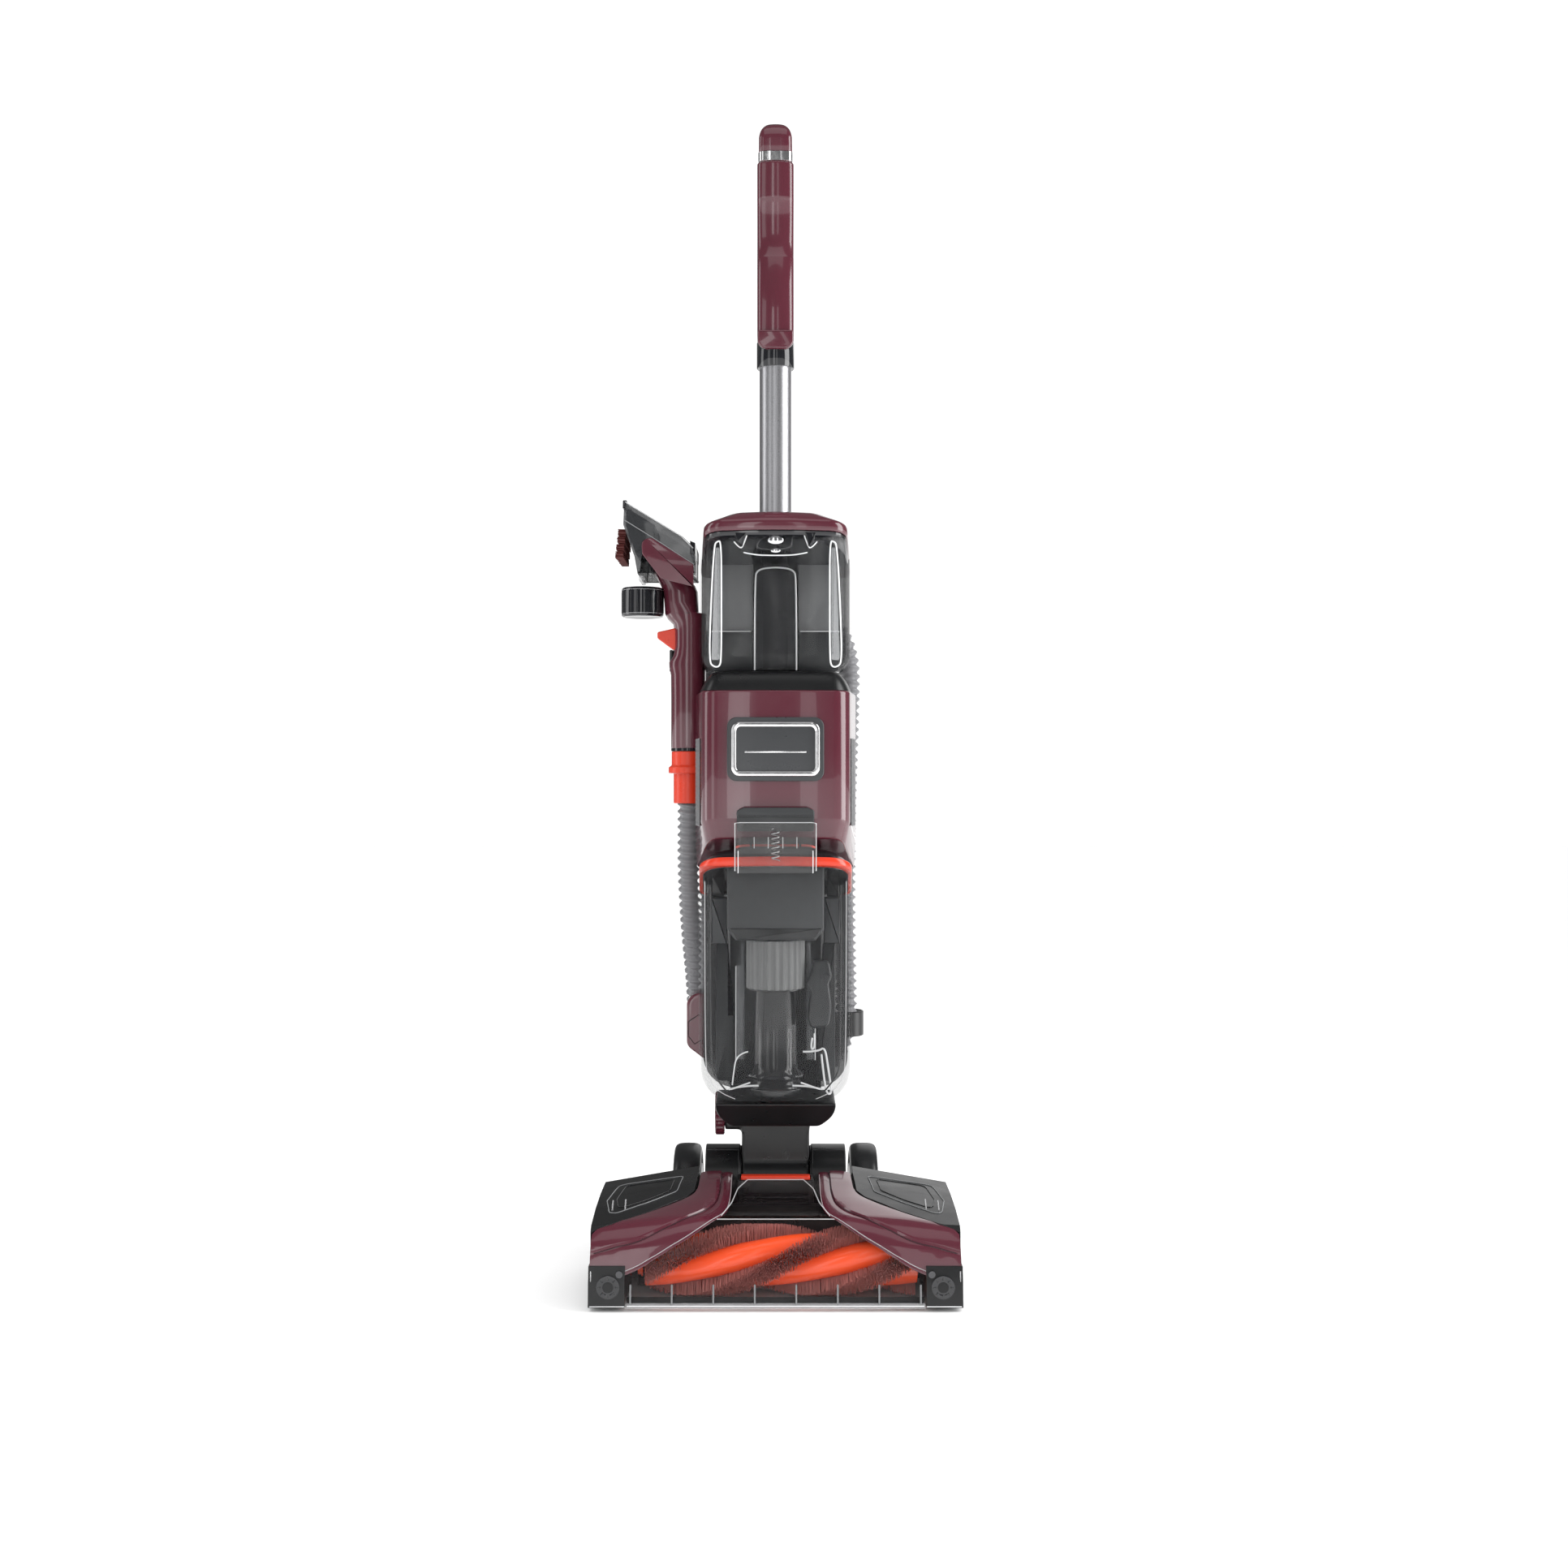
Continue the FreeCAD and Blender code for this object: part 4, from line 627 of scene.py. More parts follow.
def clean_tank_pieces():
    def rim(inset, height, corner=16):
        return tilted(plan(67.6 - inset, 75.4 - inset, -77.6 + inset, 10.6 - inset * 0.2, corner=corner), height, -78, 12)

    low = 582.7
    rings = [at_height(plan(57, 64.5, -67, 9), low), at_height(plan(58.6, 66.4, -68.6, 10), low + 0.4),
             at_height(plan(63.5, 71.5, -73.4, 10.4), low + 3.6), at_height(plan(66.8, 74.6, -76.8, 10.6), low + 8.5),
             at_height(plan(67.6, 75.4, -77.6, 10.6), low + 15), rim(0, 650), rim(0, 700), rim(-0.0, 711)]
    item = loft("upper_tank_shell", rings, ends=(True, False), angle=60)
    wall = item.modifiers.new("wall", "SOLIDIFY")
    wall.thickness = 2.2 * MM
    wall.offset = -1
    finish_piece(item, "clean_tank")
    # the tank's tinted back wall, in two steps with a channel for the column between them
    for side in (-1, 1):
        word = "left" if side < 0 else "right"
        for name, low_z, high_z, back, material in (("upper", 626, 697, 4.0, "wall_grey"), ("lower", 586, 625, 1.5, "wall_dark")):
            corners = [(22, low_z), (62, low_z, 3), (64, high_z, 3), (22, high_z)]
            if side < 0:
                corners = [(-x, *rest) for x, *rest in reversed(corners)]
            panel(f"tank_back_{name}_{word}", corners, back, back + 2, "Y", material, "upper_tank", 0.5, slot="smoke_clear")
        # painted highlight along the step of the back wall
        wire(f"tank_step_line_{word}", [(24 * side, 0.6, 625.4), (63 * side, 0.6, 625.4)], 0.55, "painted_highlight", "upper_tank",
             slot="smoke_clear")
        # long moulded flutes near the front corners, outlined by painted highlight loops and filled with a painted
        # reflection
        loop = [(-51, 704), (-51, 650), (-51, 592), (-53, 585.5), (-58, 585.5), (-62.5, 590), (-61, 640), (-57.8, 700),
                (-55, 703.5)]
        loop = [(-x * side, -78.0 + 2.6 * (x / 68) ** 2, z) for x, z in loop]
        wire(f"tank_flute_{word}", loop, 0.75, "painted_highlight", "upper_tank", closed=True, slot="smoke_clear")
        shine = [(-52.5, 698), (-52.5, 592), (-60.5, 592), (-56.6, 698)]
        shine = [(-x * side, z, 2) for x, z in shine]
        if side > 0:
            shine.reverse()
        panel(f"tank_flute_face_{word}", shine, -76.9 + 1.6, -75.9 + 1.6, "Y", "flute_painted_reflection", "upper_tank", 0.3, slot="smoke_clear")
        # stiffening line down the side of the channel, drawn as a painted highlight
        wire(f"channel_edge_{word}", [(20.3 * side, -20, 586), (20.3 * side, -20, 676), (17.5 * side, -20, 683), (9 * side, -20, 685.5),
                                      (0, -20, 685.8)], 0.8, "painted_highlight", "upper_tank", slot="smoke_clear")
    # dark clear sheet behind the clean tank: painted shade over its sides and back
    panel("tank_rear_shade", [(-66, 586, 3), (66, 586, 3), (73, 600, 3), (73, 697), (-73, 697), (-73, 600, 3)], 6.4, 8.4, "Y", "tank_shade",
          "upper_tank", 0.5, slot="smoke_clear")
    hood_arch = [(-19.8, 586), (-19.8, 685, 9), (19.8, 685, 9), (19.8, 586)]
    panel("channel_wall", hood_arch, -19.5, -17.5, "Y", "wall_dark_clear", "upper_tank", 0.5, slot="smoke_clear")
    # clips and catch under the hood, their edges drawn as painted highlight lines
    for side in (-1, 1):
        word = "left" if side < 0 else "right"
        spike = [(28, 711), (37.5, 711), (36, 703), (31, 698)]
        if side < 0:
            spike = [(-x, z) for x, z in reversed(spike)]
        panel(f"upper_clip_{word}", spike, -81, -78.4, "Y", "black_gloss", "upper_tank", 0.5, slot="black_plastic")
        wire(f"clip_loop_{word}", [(27 * side, -78.5, 709), (30 * side, -79, 700), (33 * side, -79, 695.5), (39 * side, -78.5, 703)],
             0.6, "painted_highlight", "upper_tank", slot="smoke_clear")
    wire("catch_arch", [(-30, -77.4, 693), (-20, -77.8, 690.5), (0, -78, 690), (20, -77.8, 690.5), (30, -77.4, 693)], 0.6, "painted_highlight",
         "upper_tank", slot="smoke_clear")
    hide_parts("tank_clips")
    dome("catch_button", (0, -78.4, 704.6), (7.6, 2.0, 4.2), "chrome", "tank_button", node="tank_release_button")
    dome("catch_pin", (0, -77.8, 694.6), (4.6, 1.4, 2.1), "chrome", "upper_tank", slot="chrome")


def dome(name, centre, size, material, body, node=None, slot=None):
    """A rounded button: half of a flattened ball that bulges to the front."""
    net = bmesh.new()
    bmesh.ops.create_uvsphere(net, u_segments=32, v_segments=16, radius=1)
    for vert in net.verts:
        flat = vert.co.y if vert.co.y < 0 else vert.co.y * 0.25
        vert.co = Vector((vert.co.x * size[0] + centre[0], flat * size[1] + centre[1], vert.co.z * size[2] + centre[2])) * MM
    item = make(name, net, 80)
    return finish_piece(item, node, body=body, material=material, slot=slot)


def hood():
    def rim(inset, height, corner=20, deep=None):
        deep = inset if deep is None else deep
        return tilted(plan(67.2 - inset, 75.6 - inset * 0.9, -83.2 + deep, 57.6 - deep * 0.6, corner=corner, bulge=4, back_corner=8),
                      height, -83, 12)

    rings = [rim(2.2, 714.2), rim(0.8, 714.0), rim(0, 715.2), rim(-0.2, 719), rim(0.2, 722.2), rim(1.4, 724.2), rim(3.4, 725.6, deep=2.4),
             rim(9.5, 728.8, deep=5.6), rim(15.5, 732.0, 19, 9), rim(20, 734.4, 18, 12), rim(22.6, 735.6, 17, 14), rim(26, 736.3, 15, 18),
             rim(31, 736.6, 12, 24)]
    item = loft("upper_cap", rings, angle=45)
    finish_piece(item, "top_hood")
    # dark seal between the hood and the tank
    seal = [tilted(plan(67.2 - inset, 74.2 - inset * 0.9, -83.2 + inset, 11, corner=20, bulge=4, back_corner=4), z, -83, 12)
            for inset, z in ((3.2, 709.6), (2.2, 710.4), (2.0, 713.6), (3.4, 714.3))]
    finish_piece(loft("cap_seal", seal, ends=(True, True), angle=50), body="upright", material="black_gloss", slot="black_plastic")


def badge_pieces():
    finish_piece(slab("plate", [(-45.5, 478, 9), (45.5, 478, 9), (45.5, 538, 9), (-45.5, 538, 9)], -82.8, -79.2, "Y", 1.2, 8, 4), "badge_plate",
                 material="badge_dark")
    outer = outline([(-41.5, 482.5, 8), (41.5, 482.5, 8), (41.5, 533.5, 8), (-41.5, 533.5, 8)], 10)
    inner = outline([(-36.8, 487.2, 4.5), (36.8, 487.2, 4.5), (36.8, 528.8, 4.5), (-36.8, 528.8, 4.5)], 10)

    def at(points, depth):
        return [Vector((p.x, depth * MM, p.y)) for p in points]

    middle = [a.lerp(b, 0.5) for a, b in zip(outer, inner)]
    near = [a.lerp(b, 0.2) for a, b in zip(outer, inner)]
    far = [a.lerp(b, 0.8) for a, b in zip(outer, inner)]
    rings = [at(outer, -82.6), at(outer, -83.9), at(near, -84.7), at(middle, -84.95), at(far, -84.7), at(inner, -83.9), at(inner, -82.6)]
    finish_piece(loft("plate_frame", rings + [rings[0]], ends=(False, False), angle=60), "badge_frame", material="bright_chrome")
    panel("plate_line", [(-29, 504.6, 0.5), (29, 504.6, 0.5), (29, 506.1, 0.5), (-29, 506.1, 0.5)], -83.4, -82.7, "Y", "bright_chrome", "upright",
          0.2, slot="chrome")


def vents():
    """Diamond lattice panels let into both sides of the housing."""
    first = None
    for side in (-1, 1):
        word = "left" if side < 0 else "right"
        lean = math.atan2(79.5 - 69, 80)
        net = bmesh.new()
        bars = []
        half_u, half_v = 20.5, 41.5
        step = 8.6
        for direction in (-1, 1):
            offset = -90.0
            while offset < 90:
                # the line v = direction * 1.7 * u + offset inside the panel
                ends = []
                for u in (-half_u, half_u):
                    v = direction * 1.7 * u + offset
                    if abs(v) <= half_v:
                        ends.append((u, v))
                for v in (-half_v, half_v):
                    u = (v - offset) / (direction * 1.7)
                    if abs(u) < half_u:
                        ends.append((u, v))
                if len(ends) == 2:
                    bars.append(ends)
                offset += step
        bars += [[(-half_u, -half_v), (half_u, -half_v)], [(-half_u, half_v), (half_u, half_v)],
                 [(-half_u, -half_v), (-half_u, half_v)], [(half_u, -half_v), (half_u, half_v)]]
        for (u0, v0), (u1, v1) in bars:
            along = Vector((u1 - u0, v1 - v0, 0)).normalized()
            across = Vector((-along.y, along.x, 0)) * 0.42
            points = []
            for u, v in ((u0, v0), (u1, v1)):
                points += [Vector((u, v, 0)) + across, Vector((u, v, 0.12)), Vector((u, v, 0)) - across]
            verts = [net.verts.new(p) for p in points]
            for a, b, c, d in ((0, 1, 4, 3), (1, 2, 5, 4)):
                net.faces.new([verts[k] for k in (a, b, c, d)])
        plate = [net.verts.new(Vector((u, v, -0.6))) for u, v in ((-half_u, -half_v), (half_u, -half_v), (half_u, half_v), (-half_u, half_v))]
        face = net.faces.new(plate)
        face.material_index = 1
        centre = Vector((side * (69 + (79.5 - 69) * ((-36 + 80) / 80) + 0.5), -36, 477))
        # u runs along the side wall, v up, and the third axis out of the wall
        u_axis = Vector((math.sin(lean) * side, math.cos(lean), 0))
        out = Vector((math.cos(lean) * side, -math.sin(lean), 0))
        for vert in net.verts:
            u, v, w = vert.co
            vert.co = (centre + u_axis * u + Vector((0, 0, 1)) * v + out * w) * MM
        mesh = bpy.data.meshes.new(f"vent_{word}")
        net.to_mesh(mesh)
        net.free()
        item = object_from(f"vent_{word}", mesh)
        finish_piece(item, body="upright", material="lattice", slot="black_plastic")
        item.data.materials.append(MATERIALS["black_plastic"])
        first = first or item
    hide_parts("side_vents")


# ---- dirty tank, lid and latch ---------------------------------------------------------------------

RIM_LEAN = math.tan(math.radians(21))


def tank_ring(depth, inset, wall_inset=0.0):
    """Front view of the lower tank at one depth, from the left of its open rim round to the right."""
    half = 72 + 3 * (depth + 80) / 88 - inset
    low = 173.9 + inset
    top = 398.6 - (depth + 80) * RIM_LEAN
    corners = [(-half, top, 0.1, 1), (-half, low, 33, 12), (half, low, 33, 12), (half, top, 0.1, 1)]
    return [Vector((p.x, depth * MM, p.y)) for p in outline(corners)]


def lower_tank():
    rings = []
    for depth, inset in ((-79.6, 12), (-79.9, 7.5), (-79.3, 4.2), (-78.2, 2.2), (-75.8, 0.6), (-72, 0), (-50, 0), (-20, 0), (2, 0),
                         (6, 0.6), (7.8, 2.4)):
        rings.append(tank_ring(depth, inset))
    item = loft("lower_tank_shell", rings, ends=(True, True), angle=60, closed=False)
    wall = item.modifiers.new("wall", "SOLIDIFY")
    wall.thickness = 2.2 * MM
    wall.offset = -1
    finish_piece(item, "dirty_tank")
    # gasket and lid on the sloped rim
    def rim(inset, height, corner=24, bulge=4.0):
        return tilted(plan(71.6 - inset, 74.6 - inset, -80.6 + inset, 8.4 - inset, corner=corner, bulge=bulge, back_corner=10),
                      height, -80, 21)

    rings = [rim(1.4, 399.0), rim(0.2, 399.2), rim(-0.3, 400.2), rim(-0.4, 403), rim(-0.3, 406), rim(0.4, 407.2), rim(1.6, 407.6),
             rim(3.2, 407.5), rim(3.2, 399)]
    finish_piece(loft("gasket", rings + [rings[0]], ends=(False, False), angle=45), "tank_gasket", material="orange_gloss")
    lining = [rim(3.3, 398.4), rim(3.3, 407.3), rim(5.2, 407.3), rim(5.2, 398.4)]
    finish_piece(loft("gasket_lining", lining + [lining[0]], ends=(False, False), angle=45), body="lower_tank", material="lid_dark",
                 slot="black_plastic")
    # dark clear sheet behind the dirty tank: painted shade over its inside
    back = outline([(-71, 372), (-71, 176.5, 31, 10), (71, 176.5, 31, 10), (71, 372)])
    rings = [[Vector((p.x * grow, depth * MM, 0.18 + (p.y - 0.18) * grow)) for p in back] for depth, grow in ((3.2, 0.99), (3.6, 1), (5.2, 1))]
    finish_piece(loft("tank_back_shade", rings, angle=50), body="lower_tank", material="tank_shade", slot="smoke_clear")
    for side in (-1, 1):
        word = "left" if side < 0 else "right"
        # a painted highlight down each rounded side edge of the tank and a painted shadow line just inside it
        wire(f"tank_edge_{word}", [(66.5 * side, -78.6, 384), (66.5 * side, -78.6, 216), (63 * side, -78.6, 198), (52 * side, -78.6, 184.5),
                                   (38 * side, -78.6, 179.5)], 0.45, "painted_soft_highlight", "lower_tank", slot="smoke_clear")
        wire(f"tank_inner_edge_{word}", [(61.5 * side, -74, 380), (61.5 * side, -74, 214), (57 * side, -74, 198), (46 * side, -74, 186)], 0.8,
             "shadow_grey", "lower_tank", slot="smoke_clear")
    rings = [rim(3.4, 406.6, 20), rim(3.4, 408.4, 20), rim(5.4, 411.2, 20), rim(8.0, 414.6, 20), rim(11.6, 417.6, 18), rim(15.6, 419.8, 16),
             rim(19, 420.6, 14), rim(24, 421.0, 10)]
    finish_piece(loft("lid", rings, angle=45), "tank_lid", material="lid_dark")
    wire("lid_stripe", [(-37, -72.5, 415.6), (-33, -75.6, 417.4), (-20, -76.4, 417.6), (0, -76.6, 417.6), (20, -76.4, 417.6), (33, -75.6, 417.4),
                        (37, -72.5, 415.6)], 1.15, "orange_gloss", "lower_tank", slot="orange")


def tank_internals():
    body = "lower_tank"
    # separator box with a chamfered foot, on the sloped lid
    corners = [(-46, 404, 2), (-46, 338, 1), (-38, 327, 1), (38, 327, 1), (46, 338, 1), (46, 404, 2)]
    item = slab("separator_box_piece", corners, -66, -6, "Y", 1.6)
    for vert in item.data.vertices:
        if vert.co.z > 0.36:
            vert.co.z -= max(0.0, vert.co.y + 0.066) * RIM_LEAN
    finish_piece(item, "separator", body=body, material="box_grey")
    panel("separator_step", [(-43, 338.5), (43, 338.5), (36, 328), (-36, 328)], -67.2, -66, "Y", "shadow_grey", body, 0.4, slot="dark_grey")
    # pleated filter
    turns = 96
    rings = []
    for z, grow in ((279, -1.5), (280, 0), (322, 0), (326, 0)):
        ring_points = []
        for k in range(turns):
            angle = math.tau * k / turns
            radius = (27.2 + grow + (1.0 if k % 4 < 2 else -0.6)) * MM
            ring_points.append(Vector((radius * math.cos(angle), -0.038 + radius * math.sin(angle), z * MM)))
        rings.append(ring_points)
    finish_piece(loft("pleated_filter", rings, angle=20), body=body, material="filter_light", slot="dark_grey")
    # standpipe with its flanges
    def turned_piece(name, profile, centre, material, node=None, segments=64):
        rings = []
        for radius, z in profile:
            rings.append([Vector(((centre[0] + radius * math.cos(math.tau * k / segments)) * MM,
                                  (centre[1] + radius * math.sin(math.tau * k / segments)) * MM, z * MM)) for k in range(segments)])
        item = loft(name, rings, ends=(False, False), angle=45)
        return finish_piece(item, node, body=body, material=material, slot="black_plastic")

    turned_piece("pipe", [(14, 178), (24, 178), (24.6, 179), (24.6, 184), (30, 185), (31, 186.5), (30, 188), (25, 189), (23.4, 192),
                          (26.6, 195), (27.4, 197), (26.6, 199), (22.4, 202), (21, 208), (21, 240), (20.4, 276), (21.4, 277.6),
                          (27, 278.4), (27, 279.4), (16, 279.4), (16, 200), (14, 178)], (0, -38), "pipe_gloss", "standpipe")
    turned_piece("pipe_mouth", [(13, 196), (17, 200), (18.5, 199), (19, 197)], (0, -57), "black_gloss")
    # guides and side boxes
    for side in (-1, 1):
        word = "left" if side < 0 else "right"

        def face(points):
            points = [(x * side, z) for x, z in points]
            return points if side > 0 else list(reversed(points))

        panel(f"side_box_{word}", face([(47, 321), (62, 321), (62, 365), (47, 365)]), -30, -8, "Y", "box_grey", body, 1.0, slot="dark_grey")
        panel(f"side_post_{word}", face([(50, 366), (62, 366), (62, 388), (50, 388)]), -24, -8, "Y", "shadow_grey", body, 1.0, slot="dark_grey")
        panel(f"guide_rib_{word}", face([(30, 208), (38, 208), (38, 300), (34, 300), (34, 322), (30, 322)]), -26, -22, "Y", "guide_clear", body,
              0.6, slot="smoke_clear")
        panel(f"guide_web_{word}", face([(41, 186), (58, 186), (58, 320), (46, 320), (46, 250), (41, 250)]), -14, -12, "Y", "wall_dark", body,
              0.6, slot="smoke_clear")
        # the guide edges and the rods and ramps of the foot are drawn in painted highlight white
        wire(f"guide_edge_{word}", [(38.4 * side, -26.5, 208), (38.4 * side, -26.5, 299)], 0.5, "painted_highlight", body, slot="smoke_clear")
        wire(f"foot_rod_{word}", [(16 * side, -70, 190.5), (32 * side, -70, 190.5), (44 * side, -68, 186.5)], 0.9, "painted_highlight", body,
             slot="smoke_clear")
        wire(f"foot_ramp_{word}", [(24 * side, -74, 194), (42 * side, -70, 187)], 0.8, "painted_highlight", body, slot="smoke_clear")
    # float lever: a curved arm seen through the right of the tank
    lever = [(34, 296, 4), (36.5, 306, 3), (51.5, 306, 5), (54, 292, 4), (51, 284, 3), (53.5, 262, 8), (51, 243.5, 7), (34, 240.8, 5),
             (30.5, 252, 3), (31.5, 262, 3), (33.5, 276, 3), (29, 284, 4)]
    panel("float_arm", lever, -50, -34, "Y", "float_grey", "buoy", 2.4, count=6, slot="black_plastic", node="float")
    # the float's clear rods and frame are drawn in painted highlight white
    wire("float_rod_front", [(37, -56, 238), (37.4, -56, 226), (35, -57, 222), (33.5, -58, 226), (35, -58, 234)], 0.9, "painted_highlight", body,
         slot="smoke_clear")
    wire("float_frame", [(26, -60, 221), (40, -60, 221), (47, -60, 226), (50, -62, 205), (53.5, -64, 183), (49.5, -66, 181), (46.5, -64, 190),
                         (43.5, -62, 219)], 1.0, "painted_highlight", body, slot="smoke_clear")
    wire("float_frame_left", [(-26, -60, 221), (-37, -60, 219), (-40, -62, 200), (-41, -64, 190)], 0.7, "painted_highlight", body, slot="smoke_clear")


def latch_pieces():
    front = -82.4
    shell = [(-38.5, 392, 6), (38.5, 392, 6), (38.5, 439.5, 4), (-38.5, 439.5, 4)]
    item = slab("bracket", shell, front - 5.4, front - 4.2, "Y", 0.5, 6)
    finish_piece(item, "latch_bracket", material="smoke_thin")
    # the clear bracket's edge, ribs and posts are drawn as painted highlight lines
    frame_line = [(-38, 394), (-38, 415), (-38, 438.6), (-34, 439.2), (0, 439.2), (34, 439.2), (38, 438.6), (38, 415), (38, 394)]
    wire("bracket_edge", [(x, front - 4.8, z) for x, z in frame_line], 0.42, "painted_highlight", "lower_tank", slot="smoke_clear", smooth_line=False)
    for x in (-35, 35):
        wire(f"bracket_rib_{x + 50}", [(x, front - 5.2, 392), (x, front - 5.2, 413)], 0.4, "painted_highlight", "lower_tank", slot="smoke_clear")
    for x in (-20, -6.8, 6.8, 20):
        wire(f"bracket_post_{int(x) + 50}", [(x, front - 3.6, 415), (x, front - 3.6, 425.6)], 0.45, "painted_highlight", "lower_tank", slot="smoke_clear")
    for x in (-23, 23):
        panel(f"bracket_pin_{x + 50}", [(x - 1, 416), (x + 1, 416), (x + 1, 425.6), (x - 1, 425.6)], front - 3.6, front - 2, "Y", "black_gloss",
              "lower_tank", 0.3, slot="black_plastic")
    panel("bracket_back", [(-34, 410), (34, 410), (34, 425.8), (-34, 425.8)], front - 1.2, front - 0.4, "Y", "smoke_thin", "lower_tank", 0.2,
          slot="smoke_clear")
    cap = slab("button_cap", [(-36.4, 444.6, 1), (36.4, 444.6, 1), (36.4, 450.5, 3), (30, 453.4, 3), (-30, 453.4, 3), (-36.4, 450.5, 3)],
               front - 7.6, front - 0.4, "Y", 1.4, 6, 4)
    stem = slab("button_stem", [(-36.2, 431, 2), (36.2, 431, 2), (36.2, 447), (-36.2, 447)], front - 3.4, front - 0.6, "Y", 0.6, 6, 4)
    top = shade(joined("button", [cap, stem]), 35)
    finish_piece(top, "latch_button", material="button_grey")


# ---- foot ------------------------------------------------------------------------------------------

def hood_height(x, y):
    """Height in millimetres of the hood's surface over a point of the floor."""
    share = min(1.0, max(0.0, (169 - abs(x)) / (169 - 69.7)))
    crown = DECK_RISE * share
    line = [(-150, 3), (-148, 25), (-143, 45), (-134, 60), (-120, DECK_SIDE - 9 + crown * 0.3), (-80, DECK_SIDE - 3 + crown * 0.4),
            (-30, DECK_SIDE + crown * 0.7), (18, DECK_SIDE + crown)]
    for (y0, z0), (y1, z1) in zip(line, line[1:]):
        if y <= y1:
            return z0 + (z1 - z0) * (y - y0) / (y1 - y0)
    return line[-1][1]


def over_hood(points, lift=0.0, step=6.0):
    """A line over the hood through plan points, close enough together to lie on its surface."""
    laid = []
    for (x0, y0), (x1, y1) in zip(points, points[1:]):
        count = max(1, int(math.hypot(x1 - x0, y1 - y0) / step))
        for i in range(count):
            t = i / count
            laid.append((x0 + (x1 - x0) * t, y0 + (y1 - y0) * t))
    laid.append(points[-1])
    return [(x, y, hood_height(x, y) + lift) for x, y in laid]


def lathe_x(name, profile, centre, segments=64):
    """A piece turned about a line along X: profile is (x, radius) in millimetres."""
    rings = []
    for x, radius in profile:
        rings.append([Vector((x, centre[0] + radius * math.cos(math.tau * k / segments),
                              centre[1] + radius * math.sin(math.tau * k / segments))) * MM for k in range(segments)])
    return loft(name, rings, ends=(True, True), angle=40)


def lathe_z(name, profile, centre, segments=64):
    """A piece turned about an upright line: profile is (radius, z) in millimetres."""
    rings = []
    for radius, z in profile:
        rings.append([Vector((centre[0] + radius * math.cos(math.tau * k / segments),
                              centre[1] + radius * math.sin(math.tau * k / segments), z)) * MM for k in range(segments)])
    return loft(name, rings, ends=(True, True), angle=40)


BRUSH = (-105, 36)
TWIST = 0.0195


def fin_radius(turn):
    """Radius of the brush core: three broad screw-shaped fins with hollows between them."""
    wave = 0.5 + 0.5 * math.cos(3 * turn)
    return 17.0 + 6.6 * wave ** 0.9


def brush_pieces():
    segments = 90
    rings = []
    for i in range(101):
        x = -119.5 + 249 * i / 100
        ring_points = []
        for k in range(segments):
            turn = math.tau * k / segments
            radius = fin_radius(turn + TWIST * x)
            ring_points.append(Vector((x, BRUSH[0] + radius * math.cos(turn), BRUSH[1] + radius * math.sin(turn))) * MM)
        rings.append(ring_points)
    fins = loft("fins", rings, angle=60)
    low_end = lathe_x("low_end", [(-137.5, 3.8), (-133, 3.8), (-133, 15.2), (-131.6, 15.4), (-131.4, 13.6), (-123.6, 13.6), (-123.4, 15.4),
                                  (-121.8, 15.2), (-121.4, 10)], BRUSH)
    high_end = lathe_x("high_end", [(129.4, 17), (130.6, 17), (131, 16), (131.2, 3.8), (139.5, 3.8)], BRUSH)
    core = joined("brush_fins", [fins, low_end, high_end])
    shade(core, 60)
    finish_piece(core, "brush_core", material="orange_bright")
    random.seed(11)
    net = bmesh.new()
    for row in range(6):
        base = math.tau * (row // 2) / 3 + math.pi / 3 + (0.19 if row % 2 else -0.19)
        for i in range(170):
            for strand in range(10):
                x = -118.5 + 247 * (i + random.random()) / 170
                turn = base - TWIST * x + (strand - 4.5) * 0.038 + random.uniform(-0.03, 0.03)
                inner = fin_radius(turn + TWIST * x) - 1.0
                outer = 31.9 + random.uniform(-1.3, 0.6)
                lean = random.uniform(-0.03, 0.03)
                tilt = random.uniform(-0.9, 0.9)
                ends = []
                for radius, wide, shift, a0 in ((inner, 0.42, 0, turn), (outer, 0.3, tilt, turn + lean)):
                    ends.append([net.verts.new(Vector((x + shift + wide * math.sin(spin),
                                                       BRUSH[0] + radius * math.cos(a0 + wide * math.cos(spin) / radius),
                                                       BRUSH[1] + radius * math.sin(a0 + wide * math.cos(spin) / radius))) * MM)
                                 for spin in (0, math.tau / 3, 2 * math.tau / 3)])
                for c in range(3):
                    d = (c + 1) % 3
                    net.faces.new((ends[0][c], ends[0][d], ends[1][d], ends[1][c]))
                net.faces.new(ends[1])
    finish_piece(make("tufts", net, 80), "brush_bristles")


WING_OUTER = [(73, -4), (73.6, -28), (75, -50), (81, -65), (96, -80.5), (114, -94.5), (132, -107), (149, -117), (161, -121.5),
              (167.4, -128)]
WING_INNER = [(42, -4), (42, -30), (42, -62), (43.5, -90), (48.5, -107), (58, -118), (76, -129), (108, -140), (140, -144.2),
              (168.2, -145)]


def along_line(points, t):
    """A smooth point at share t of a line through plan points."""
    place = t * (len(points) - 1)
    k = min(int(place), len(points) - 2)
    u = place - k
    a, b = Vector(points[k]), Vector(points[k + 1])
    before = Vector(points[k - 1]) if k else a * 2 - b
    after = Vector(points[k + 2]) if k + 2 < len(points) else b * 2 - a
    leave, arrive = (b - before) / 2 - (b - a), (after - a) / 2 - (b - a)
    return a.lerp(b, u) + leave * u * (1 - u) ** 2 - arrive * u * u * (1 - u)


